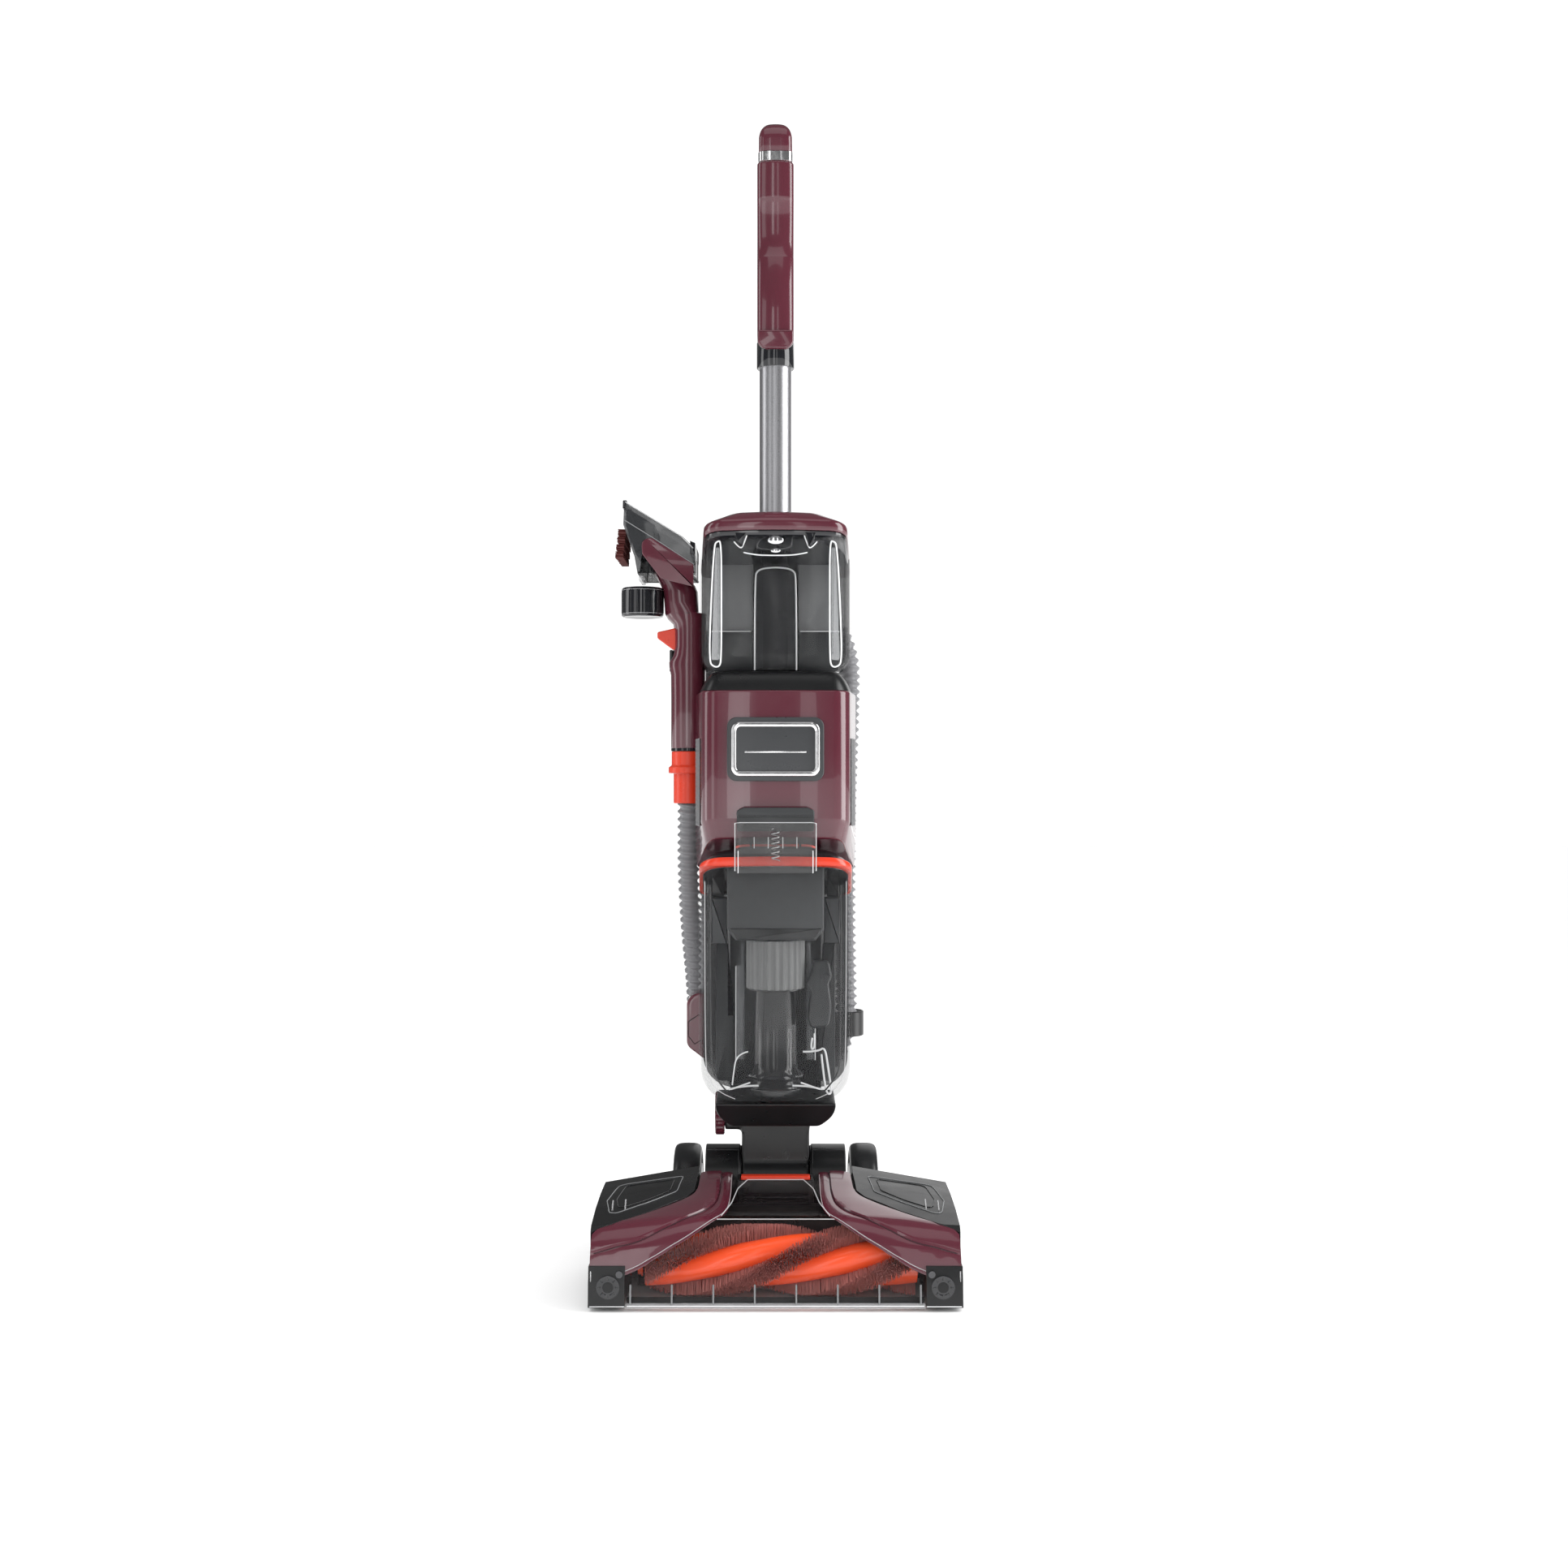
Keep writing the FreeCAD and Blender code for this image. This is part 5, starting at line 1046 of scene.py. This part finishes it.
def wing_point(side, t, v):
    """A place on a wing: t runs from the cheek to the outer corner, v from the deck to the window."""
    place = along_line(WING_OUTER, t).lerp(along_line(WING_INNER, t), v)
    spread = (-7, -3.5, 0, 3.5, 7)
    height = sum(hood_height(place.x, min(-3, place.y + d)) for d in spread) / len(spread)
    crown = 1.5 * (1 - abs(2 * v / 1.32 - 1) ** 3) if v < 0.66 else 1.0 * (1 - abs((v - 0.83) / 0.17) ** 2) - 0.7
    return place.x * side, max(-149.8, place.y), height + max(-0.6, crown)


def wing(side):
    """One coloured wing of the hood: two long crowned bands with a groove between them."""
    steps, lanes = 90, (0, 0.015, 0.05, 0.12, 0.2, 0.3, 0.42, 0.52, 0.6, 0.64, 0.66, 0.68, 0.72, 0.78, 0.86, 0.93, 0.98, 1)
    rings = []
    for v in lanes:
        rings.append([Vector(wing_point(side, i / steps, v)) * MM for i in range(steps + 1)])
    low = [[point - Vector((0, 0, 1.2 * MM)) for point in ring] for ring in (rings[-1], rings[0])]
    edge = rings + low
    net = bmesh.new()
    rows = [[net.verts.new(point) for point in ring] for ring in edge]
    for a, b in zip(rows, rows[1:] + rows[:1]):
        for i in range(steps):
            net.faces.new((a[i], a[i + 1], b[i + 1], b[i]) if side < 0 else (a[i], b[i], b[i + 1], a[i + 1]))
    for k in (0, steps):
        net.faces.new([row[k] for row in rows])
    bmesh.ops.recalc_face_normals(net, faces=net.faces)
    return make("wing_left" if side < 0 else "wing_right", net, 50)


def foot_pieces():
    for node, name, width in (("deck_cover", "deck", 1.6), ("hood_frame", "frame", 0.8),
                              ("hood_release_bar", "release_bar", 1.2), ("end_caps", "caps", 1.4), ("chassis_base", "chassis", 1.5)):
        refined(node, name, width, 4)
    refined("hood_window", "window", 0.8, material="hood_clear")
    left, right = wing(-1), wing(1)
    finish_piece(joined("wings", [left, right]), "hood_wings")
    refined("yokes", "cheeks", 3.2, 5)
    for side, node in ((-1, "wheel_left"), (1, "wheel_right")):
        inner, outer = 76.4 * side, 104.8 * side
        middle = (inner + outer) / 2
        half = 14.2 * side

        profile = []
        for share, radius in ((-1, 7.2), (-1, 30), (-0.86, 31), (-0.86, 42), (-1, 43), (-0.97, 46), (-0.86, 48.8), (-0.66, 50.2), (-0.4, 50.8),
                              (0, 51), (0.4, 50.8), (0.66, 50.2), (0.86, 48.8), (0.97, 46), (1, 43), (0.8, 42), (0.74, 38), (0.74, 16),
                              (0.98, 14), (0.98, 7.2)):
            profile.append((middle + half * share, radius))
        finish_piece(lathe_x("left_wheel" if side < 0 else "right_wheel", profile, (99, 51), 80), node)
        word = "left" if side < 0 else "right"
        across = middle + half * 0.74
        spokes = [[(across, 99 + reach * math.cos(math.tau * k / 6), 51 + reach * math.sin(math.tau * k / 6)) for reach in (17, 38)]
                  for k in range(6)]
        rods(f"wheel_ribs_{word}", spokes, 2.0, "wheel_tread", "wheel_l" if side < 0 else "wheel_r", slot="wheel_tread")
    # washers that fill the gaps between the neck and the cheeks
    washers = [lathe_x(f"pivot_washer_{side + 1}", [(x * side, radius) for x, radius in ((33.9, 9), (33.9, 32), (34.4, 32.6), (35.2, 32.6), (35.2, 9))],
                       (35, 80)) for side in (-1, 1)]
    finish_piece(shade(joined("pivot_washers", washers), 40), body="foot", material="black_plastic", slot="black_plastic")
    # dark chamber round the brush
    chamber = [(-69.5, 24), (-64.5, 24), (-63, 60), (-40, 66), (-25, 66), (-25, 69), (-42, 70), (-66, 64)]
    panel("brush_chamber", chamber, -121, 133, "X", "chamber_black", "foot", 0.6, slot="black_plastic")
    # a black strip behind the lip: painted shade under the brush
    panel("lip_painted_shade", [(-146.2, 3.4), (-145.2, 3.4), (-144.2, 12.5), (-145.0, 12.5)], -134.5, 134.5, "X", "chamber_black", "foot", 0.2,
          slot="black_plastic")
    # clear lip with its ribs; the line along the lip and the ribs are painted highlights
    lip = [(-150 + 0.3, 3.2), (-147.6, 3.2), (-146.8, 7.6), (-149.0, 7.6)]
    panel("lip_bar", lip, -135, 135, "X", "lip_clear", "hood", 0.5, slot="smoke_clear")
    wire("lip_line", [(-134, -149.4, 5.4), (134, -149.4, 5.4)], 0.5, "painted_highlight", "hood", slot="smoke_clear")
    ribs = []
    for k in range(8):
        x = -130.9 + 37.4 * k
        ribs.append(slab(f"lip_rib_{k}", [(-149.4, 6), (-145, 6), (-145.4, 24), (-147.2, 24)], x - 0.8, x + 0.8, "X", 0.3, 4))
    finish_piece(joined("lip_ribs", ribs), body="hood", material="dim_painted_highlight", slot="smoke_clear")
    for side in (-1, 1):
        word = "left" if side < 0 else "right"

        def face(points):
            points = [(x * side, *rest) for x, *rest in points]
            return points if side > 0 else list(reversed(points))

        # painted highlight lines on the clear corner tab and post
        wire(f"corner_tab_{word}", [(136 * side, -149.4, 5), (167.5 * side, -149.4, 5), (168.2 * side, -140, 5)], 0.6, "painted_highlight", "foot",
             slot="smoke_clear", smooth_line=False)
        wire(f"corner_post_{word}", [(168 * side, -149, 5), (166.8 * side, -147, 14), (166.6 * side, -147, 36)], 0.5, "painted_soft_highlight", "foot",
             slot="smoke_clear")
        # bearing recess in the end cap
        ring_piece = lathe_y(f"cap_ring_{word}", [(5, -148.2), (10.5, -148.2), (10.5, -149.3), (8.6, -149.6), (6.6, -148.9), (5, -148.9)],
                             (151 * side, 22))
        finish_piece(ring_piece, body="foot", material="black_gloss", slot="black_plastic")
        teeth = [[((151 + reach * math.cos(math.tau * k / 8)) * side, -149.2, 22 + reach * math.sin(math.tau * k / 8)) for reach in (6.4, 9.4)]
                 for k in range(8)]
        rods(f"cap_teeth_{word}", teeth, 0.7, "shadow_grey", "foot", slot="black_plastic")
        # wings: a groove along the middle, drawn as a line of painted shade, and a clear bead along the inner edge,
        # drawn as a painted highlight
        grooves = [wing_point(side, t / 60, 0.66) for t in range(1, 60)]
        wire(f"wing_groove_{word}", [(x, y, z + 0.3) for x, y, z in grooves], 0.55, "maroon_seam_and_groove_shade", "hood", slot="maroon_gloss")
        beads = [wing_point(side, t / 60, 0.98) for t in range(2, 56)]
        wire(f"wing_bead_{word}", [(x, y, z + 0.2) for x, y, z in beads], 0.4, "painted_soft_highlight", "hood", slot="smoke_clear")
        # deck: a recessed panel with a clear edge drawn as a dim painted highlight line, a painted shade line inside
        # it, and clear posts drawn as painted highlights
        for name, corners, radius, material in (
                ("deck_edge", [(90, -8, 4), (152, -8, 10), (160, -60, 8), (154, -100, 6), (122, -76, 6), (94, -50, 8)], 0.5, "dim_painted_highlight"),
                ("deck_inner", [(98, -14, 4), (145, -14, 8), (151, -58, 6), (147, -86, 5), (122, -67, 5), (101, -46, 6)], 0.4, "shadow_grey")):
            lines = [(p.x / MM * side, p.y / MM) for p in outline(corners)]
            wire(f"{name}_{word}", over_hood(lines + lines[:1], 0.3), radius, material, "foot", slot="black_plastic")
        rods(f"deck_posts_{word}", [over_hood([(x * side, -62), (x * side * 0.99, -88)], 0.5) for x in (142, 154)], 0.7, "painted_soft_highlight", "foot",
             slot="smoke_clear")
        # black fillet from the deck to the cheek
        wire(f"cheek_top_{word}", [(36.5 * side, 6, 92), (36.5 * side, 12, 113.2), (68.5 * side, 12, 113.2), (68.5 * side, 6, 92)], 0.5,
             "shadow_grey", "foot", slot="black_plastic", smooth_line=False)
    # window: crease, upper edge and the diagonals beside the louvres, drawn as painted highlight lines
    crease = [(x, -119) for x in range(-54, 55, 4)]
    wire("window_crease", over_hood(crease, 0.1), 0.5, "painted_soft_highlight", "hood", slot="smoke_clear")
    wire("window_top", over_hood([(-50, -112), (-41, -84), (-36, -50), (-27, -28)], 0.3), 0.55, "painted_soft_highlight", "hood", slot="smoke_clear")
    wire("window_top_right", over_hood([(50, -112), (41, -84), (36, -50), (27, -28)], 0.3), 0.55, "painted_soft_highlight", "hood", slot="smoke_clear")
    wire("window_back", over_hood([(-27, -28), (27, -28)], 0.3), 0.5, "painted_soft_highlight", "hood", slot="smoke_clear")


def lathe_y(name, profile, centre, segments=40):
    """A ring turned about a line along Y: profile is (radius, y) in millimetres."""
    rings = []
    for radius, y in profile + [profile[0]]:
        rings.append([Vector((centre[0] + radius * math.cos(math.tau * k / segments), y,
                              centre[1] + radius * math.sin(math.tau * k / segments))) * MM for k in range(segments)])
    return loft(name, rings, ends=(False, False), angle=40)


def half_ring(name, centre, inner, outer, low, high, start, end, count=28):
    """An open clip: part of a ring about an upright line, between two angles in degrees."""
    profile = [(inner, low + 0.8), (inner + 0.8, low), (outer - 0.8, low), (outer, low + 0.8), (outer, high - 0.8), (outer - 0.8, high),
               (inner + 0.8, high), (inner, high - 0.8)]
    rings = []
    for i in range(count + 1):
        turn = math.radians(start + (end - start) * i / count)
        rings.append([Vector((centre[0] + radius * math.cos(turn), centre[1] + radius * math.sin(turn), z)) * MM for radius, z in profile])
    return loft(name, rings, angle=50)


# ---- neck, spine and port --------------------------------------------------------------------------

def back_pieces():
    def bowl(place):
        share = (place.z - 0.1475) / 0.0245
        if 0 <= share <= 1.02:
            place.x *= (41 + 17 * (1 - (1 - min(1, share)) ** 2.4)) / (41 + 17 * share)
        elif share < 0 and place.z > 0.122:
            place.x *= 1 + 0.12 * ((place.z - 0.122) / 0.0255) ** 3
        return place

    carved("neck", "neck_moulding", 1.5, 10, push=bowl, faces=24000)
    carved("hose_port", "port", 1.2, 5)
    # engraved outline on the port, drawn as a darker line of painted shade
    wire("port_line", [(-86.5, 10.6, 240), (-86.5, 10.4, 226), (-80, 10.4, 218), (-66, 10.4, 226), (-66, 10.4, 240), (-76, 10.4, 247), (-86.5, 10.6, 240)],
         0.45, "maroon_seam_and_groove_shade", "upright", slot="maroon_gloss", smooth_line=False)
    refined("spine", "back_column", 2.2, 4)
    clip = half_ring("hose_clip", (72, 70), 15.5, 18.0, 219, 244, -200, 60)
    dock = half_ring("tool_clip", (-87, 32), 17.6, 20.4, 588, 610, 18, 162)
    parts = [clip, dock, block("clip_arm", (45, 46, 221), (57, 60, 242), 2.0, 3), block("dock_arm", (-68, 38, 590), (-45, 46, 608), 2.0, 3),
             block("hook_arm", (-16, 58, 642), (16, 103, 650.5), 1.6, 3), block("hook_lip", (-16, 98.5, 644), (16, 103, 672), 1.6, 3)]
    finish_piece(shade(joined("hose_clips", parts), 40), "clips")
    refined("cord_hook", "hook", 1.5)
    refined("power_rocker", "rocker_switch", 0.8)
    # knurled dial
    turns = 72
    rings = []
    for x, grow in ((-60, -1.4), (-59.4, -0.4), (-58.6, 0), (-52, 0), (-51.2, -0.4), (-50.5, -1.4)):
        rings.append([Vector((x, 30 + (21.4 + grow - (0.9 if k % 3 == 0 else 0)) * math.cos(math.tau * k / turns),
                              146.5 + (21.4 + grow - (0.9 if k % 3 == 0 else 0)) * math.sin(math.tau * k / turns))) * MM for k in range(turns)])
    finish_piece(loft("dial_knob", rings, angle=25), "mode_dial", material="maroon_gloss")
    # screws, a seam and exhaust slots on the back, none of them shown from the front
    heads = [lathe_y(f"back_screw_{k}", [(0.4, 58.0), (4.2, 58.0), (4.2, 59.2), (3.6, 59.8), (1.4, 59.8), (0.4, 59.0)], place)
             for k, place in enumerate(((-36, 180), (36, 180), (-36, 330), (36, 330), (-36, 620), (36, 620)))]
    finish_piece(shade(joined("back_screws", heads), 40), body="upright", material="steel", slot="steel")
    slots = [slab(f"exhaust_slot_{k}", [(-26, z, 1.5), (26, z, 1.5), (26, z + 3.2, 1.5), (-26, z + 3.2, 1.5)], 57.6, 58.5, "Y", 0.2, 4)
             for k, z in enumerate(range(372, 436, 8))]
    finish_piece(joined("exhaust_slots", slots), body="upright", material="shadow_grey", slot="black_plastic")
    wire("back_seam", [(-41, 58.1, 160), (-41, 58.1, 684), (41, 58.1, 684), (41, 58.1, 160)], 0.5, "shadow_grey", "upright",
         slot="black_plastic", smooth_line=False)


# ---- handle ----------------------------------------------------------------------------------------

def handle_plan(half, front, rear, corner=12):
    return outline([(-half, rear, corner, 6), (-half, front, corner, 6), (-half * 0.3, front - 1.2, 4, 3), (half * 0.3, front - 1.2, 4, 3),
                    (half, front, corner, 6), (half, rear, corner, 6)])


def handle_pieces():
    def hollow(place):
        window = max(0.0, 1 - ((place.z - 1.0305) / 0.030) ** 2)
        if place.y < 0.05:
            share = min(1.0, max(0.0, (0.05 - place.y) / 0.024))
            place.y += (0.0075 * window ** 0.8 + 0.005 * (place.x / 0.0183) ** 2) * share
        return place

    carved("handle_body", "loop_handle", 1.3, 7, push=hollow, faces=24000)
    tongue = slab("handle_tongue", [(-18.0, 927, 2), (-18.0, 908, 15), (18.0, 908, 15), (18.0, 927, 2)], 18.5, 25, "Y", 2.2, 8, 4)
    finish_piece(tongue, body="upright", material="maroon_gloss", slot="maroon_gloss")
    rings = [at_height(handle_plan(17.2 + g, 23.4 - g, 110 + g), z) for z, g in ((1096.4, -0.8), (1096.9, 0), (1105.9, 0), (1106.5, -0.8))]
    finish_piece(loft("bright_band", rings, angle=40), "handle_band", material="bright_chrome")
    rings = [at_height(handle_plan(16.0, 24.6, 107), 1106.3), at_height(handle_plan(16.7, 24, 108), 1107)]
    for i in range(1, 15):
        angle = math.radians(88) * i / 14
        keep = math.cos(angle)
        half = max(0.7, 16.7 * keep ** 0.85)
        rings.append(at_height(handle_plan(half, 24 + 20 * (1 - keep), 108 - 58 * (1 - keep), corner=max(0.5, 12 * keep)),
                               1119 + 19.7 * math.sin(angle)))
    finish_piece(loft("handle_end", rings, angle=50), "handle_cap")
    finish_piece(lathe_z("collar", [(16.2, 892.2), (18.2, 892.2), (18.75, 893), (18.75, 918), (18.2, 918.9), (16.2, 918.9), (16.2, 892.2)],
                         (0, 40)), "tube_collar", material="black_gloss")
    refined("spray_trigger", "handle_trigger", 2.0, 4)
    ears = [slab(f"trigger_ear_{side + 1}", [(103.5, 1062, 4), (121, 1062, 1), (121, 1049, 1), (103.5, 1049.5, 4)], min(9.7 * side, 13 * side),
                 max(9.7 * side, 13 * side), "X", 0.8, 5) for side in (-1, 1)]
    finish_piece(joined("trigger_ears", ears), body="upright", material="maroon_gloss", slot="maroon_gloss")
    rods("trigger_pin", [[(-13.4, 109.5, 1056), (-9.6, 109.5, 1056)], [(9.6, 109.5, 1056), (13.4, 109.5, 1056)]], 1.8, "steel", "upright",
         slot="steel", sides=20)


# ---- hand tool -------------------------------------------------------------------------------------

def tool_pieces():
    sections = [(511, -104.2, -69.8, 17.1), (512, -104.4, -69.6, 17.4), (560, -104.4, -69.6, 17.4), (584, -104.6, -69.6, 17.4),
                (592, -106.2, -69.6, 17.4), (597, -106.4, -69.6, 17.4), (603, -102.6, -69.6, 17.2), (612, -100.8, -69.6, 17),
                (628, -100.8, -69.6, 17), (635, -102.4, -69.6, 17.2), (640, -107.6, -69.6, 17.4), (645, -110.4, -69.8, 17.4),
                (646.4, -110.6, -76.6, 17.4), (656, -111.2, -76.8, 17.4), (667, -112.2, -77.4, 17.2), (673, -114.4, -80, 16.8), (681, -119, -87, 16.2), (689, -124.6, -97, 15.4),
                (696, -127.6, -108, 14.4), (701, -126.4, -114.6, 12.6), (703.6, -123.6, -119, 9)]
    rings = []
    for z, left, right, deep in sections:
        ring_points = []
        for k in range(56):
            turn = math.tau * k / 56
            x, y = math.cos(turn), math.sin(turn)
            x, y = math.copysign(abs(x) ** 0.86, x), math.copysign(abs(y) ** 0.86, y)
            centre = -87 if z < 650 else (left + right) / 2
            reach = right - centre if x > 0 else centre - left
            ring_points.append(Vector((centre + reach * x, 32 + deep * y, z)) * MM)
        rings.append(ring_points)
    finish_piece(loft("grip", rings, angle=60), "tool_grip")
    refined("tool_trigger", "tool_lever_piece", 1.2)
    head = slab("nozzle", [(-148, 752, 2), (-91, 717.7, 6), (-79, 706, 6), (-79, 681), (-116, 704.5), (-128, 706.5), (-131, 681),
                           (-135, 681), (-138, 697.7), (-149, 729, 2)], -11, 75, "Y", 1.8, 5, 3)
    finish_piece(head, "tool_head", material="tool_smoke")
    panel("nozzle_core", [(-146, 746, 2), (-118, 729, 2), (-118, 708), (-129, 709), (-137, 701), (-146.5, 728, 2)], -8, 72, "Y", "shadow_grey", "tool",
          1.0, slot="black_plastic")
    panel("nozzle_tongue", [(-131, 713, 8), (-122, 716.5, 8), (-80, 690, 3), (-80, 668), (-112, 676, 4), (-130.5, 700, 8)], -12.4, -10.4, "Y",
          "maroon_gloss", "tool", 0.8, count=6, slot="maroon_gloss")
    # painted highlight along the top edge of the nozzle and a dimmer one across its middle
    wire("nozzle_top_line", [(-147, -11.6, 751), (-92, -11.6, 717.4), (-80.5, -11.6, 705.6)], 0.6, "painted_soft_highlight", "tool", slot="smoke_clear",
         smooth_line=False)
    wire("nozzle_mid_line", [(-147.5, -11.8, 733), (-120, -11.8, 716), (-80, -11.8, 690)], 0.5, "dim_painted_highlight", "tool", slot="smoke_clear",
         smooth_line=False)
    panel("nozzle_end", [(-83.5, 700), (-78.6, 700), (-78.6, 711), (-83.5, 713)], -11.6, 75.2, "Y", "black_gloss", "tool", 0.6, slot="black_plastic")
    panel("nozzle_tip", [(-149.4, 745), (-146.4, 745), (-145, 752.6, 1), (-149.2, 752.6, 1)], -11.4, 75.2, "Y", "black_gloss", "tool", 0.5,
          slot="black_plastic")
    panel("nozzle_hook", [(-135.4, 676.5, 1), (-131.4, 676.5, 1), (-131, 690), (-134.6, 690)], 10, 54, "Y", "lip_clear", "tool", 0.5,
          slot="smoke_clear")
    # bristle block in four staggered rows
    random.seed(5)
    net = bmesh.new()
    for row in range(4):
        for column in range(13):
            z = 700.5 + 7.2 * row
            y = -2 + 68 * column / 12
            reach = 157.2 - 0.9 * row
            for strand in range(12):
                turn = math.tau * strand / 12
                spread = 1.2 if strand % 2 else 2.3
                dy, dz = spread * math.cos(turn), spread * 1.25 * math.sin(turn)
                root = 149.6 - 0.12 * (z - 700)
                tip = reach + random.uniform(-0.6, 0.4)
                shift = (random.uniform(-0.5, 0.5), random.uniform(-0.5, 0.5))
                ends = []
                for x, wide, oy, oz in ((-root, 0.75, 0, 0), (-tip, 0.6, *shift)):
                    ends.append([net.verts.new(Vector((x, y + dy + oy + wide * math.cos(math.tau * c / 4), z + dz + oz + wide * math.sin(math.tau * c / 4)))
                                               * MM) for c in range(4)])
                for c in range(4):
                    d = (c + 1) % 4
                    net.faces.new((ends[0][c], ends[0][d], ends[1][d], ends[1][c]))
                net.faces.new(list(reversed(ends[1])))
    finish_piece(make("nozzle_bristles", net, 60), "tool_brush", material="tool_bristle")
    cap = lathe_z("round_cap", [(14, 643.4), (19.6, 642.2), (20.8, 643.4), (21, 645), (21, 668.4), (20.6, 670.2), (19.4, 671.2), (18.6, 670.6),
                                (17.8, 668), (2, 667.6)], (-133, 32), 72)
    finish_piece(cap, "tool_cap", material="black_gloss")
    # painted highlight rings round the rim and foot of the cap
    loop = [(-133 + 20.9 * math.cos(math.tau * k / 24), 32 + 20.9 * math.sin(math.tau * k / 24), 668.6) for k in range(24)]
    wire("cap_rim_line", loop, 0.35, "painted_soft_highlight", "tool", closed=True, slot="smoke_clear")
    loop = [(x, y, 645.2) for x, y, z in loop]
    wire("cap_foot_line", loop, 0.35, "painted_soft_highlight", "tool", closed=True, slot="smoke_clear")
    ribs = [[(-133 + 20.7 * math.cos(math.tau * k / 18), 32 + 20.7 * math.sin(math.tau * k / 18), z) for z in (646, 667)] for k in range(18)]
    rods("cap_ribs", ribs, 0.55, "black_gloss", "tool", slot="black_plastic")
    seam = [(-87 + 17.3 * math.cos(math.tau * k / 24), 32 + 17.3 * math.sin(math.tau * k / 24), 645) for k in range(24)]
    wire("grip_seam", seam, 0.4, "maroon_seam_and_groove_shade", "tool", closed=True, slot="maroon_gloss")
    # black collar between the grip and the coupling
    finish_piece(lathe_z("grip_collar", [(15.6, 508.2), (17.5, 508.2), (17.5, 511), (15.6, 511)], (-87, 32)), body="tool", material="black_gloss",
                 slot="black_plastic")


housing()
ring()
clean_tank_pieces()
hood()
badge_pieces()
vents()
lower_tank()
tank_internals()
latch_pieces()
brush_pieces()
foot_pieces()
back_pieces()
handle_pieces()
tool_pieces()


# ---- floor, world and lights -----------------------------------------------------------------------

def stage():
    net = bmesh.new()
    bmesh.ops.create_grid(net, x_segments=8, y_segments=8, size=12)
    floor = make("floor", net)
    material, tree, shader = new_material("floor")
    tree.links.new(tint(tree, noise(tree, 3), (0.95, 0.95, 0.95), (0.97, 0.97, 0.97)), shader.inputs["Base Color"])
    shader.inputs["Roughness"].default_value = 0.6
    shader.inputs["Specular IOR Level"].default_value = 0.0
    sheen = tree.nodes.new("ShaderNodeBsdfGlossy")
    sheen.inputs["Roughness"].default_value = 0.12
    blend = tree.nodes.new("ShaderNodeMixShader")
    blend.inputs["Fac"].default_value = 0.09
    tree.links.new(shader.outputs["BSDF"], blend.inputs[1])
    tree.links.new(sheen.outputs["BSDF"], blend.inputs[2])
    tree.links.new(blend.outputs["Shader"], tree.nodes["Material Output"].inputs["Surface"])
    floor.data.materials.append(material)
    world = bpy.data.worlds.new("studio")
    bpy.context.scene.world = world
    world.use_nodes = True
    tree = world.node_tree
    shown = tree.nodes["Background"]
    shown.inputs["Color"].default_value = (1, 1, 1, 1)
    shown.inputs["Strength"].default_value = 1.14
    mirrored = tree.nodes.new("ShaderNodeBackground")
    mirrored.inputs["Color"].default_value = (1, 1, 1, 1)
    mirrored.inputs["Strength"].default_value = 0.14
    path = tree.nodes.new("ShaderNodeLightPath")
    mix = tree.nodes.new("ShaderNodeMixShader")
    tree.links.new(path.outputs["Is Glossy Ray"], mix.inputs["Fac"])
    tree.links.new(shown.outputs["Background"], mix.inputs[1])
    tree.links.new(mirrored.outputs["Background"], mix.inputs[2])
    tree.links.new(mix.outputs["Shader"], tree.nodes["World Output"].inputs["Surface"])


def lamp(name, place, aim, size, power):
    data = bpy.data.lights.new(name, "AREA")
    data.shape = "RECTANGLE"
    data.size, data.size_y = size
    data.energy = power
    item = bpy.data.objects.new(name, data)
    bpy.context.scene.collection.objects.link(item)
    item.location = place
    item.rotation_euler = (Vector(aim) - Vector(place)).to_track_quat("-Z", "Y").to_euler()
    item.visible_camera = False
    return item


stage()
lamp("left_strip", (-0.3, -1.9, 0.75), (-0.1, 0, 0.7), (0.22, 2.4), 3.6)
lamp("right_strip", (0.27, -1.9, 0.75), (0.1, 0, 0.7), (0.17, 2.4), 1.6)
lamp("left_wide", (-1.15, -1.3, 0.8), (0, 0, 0.6), (0.45, 2.2), 3.0)
lamp("right_side", (1.5, -0.35, 0.85), (0, 0, 0.6), (0.9, 2.2), 30)
lamp("left_side", (-1.6, 0.0, 0.85), (0, 0, 0.6), (0.5, 2.2), 7)
lamp("above", (0, -0.5, 2.4), (0, 0, 0.3), (1.2, 1.2), 3)
lamp("rear", (0.6, 1.8, 1.2), (0, 0, 0.6), (1.2, 1.8), 6)
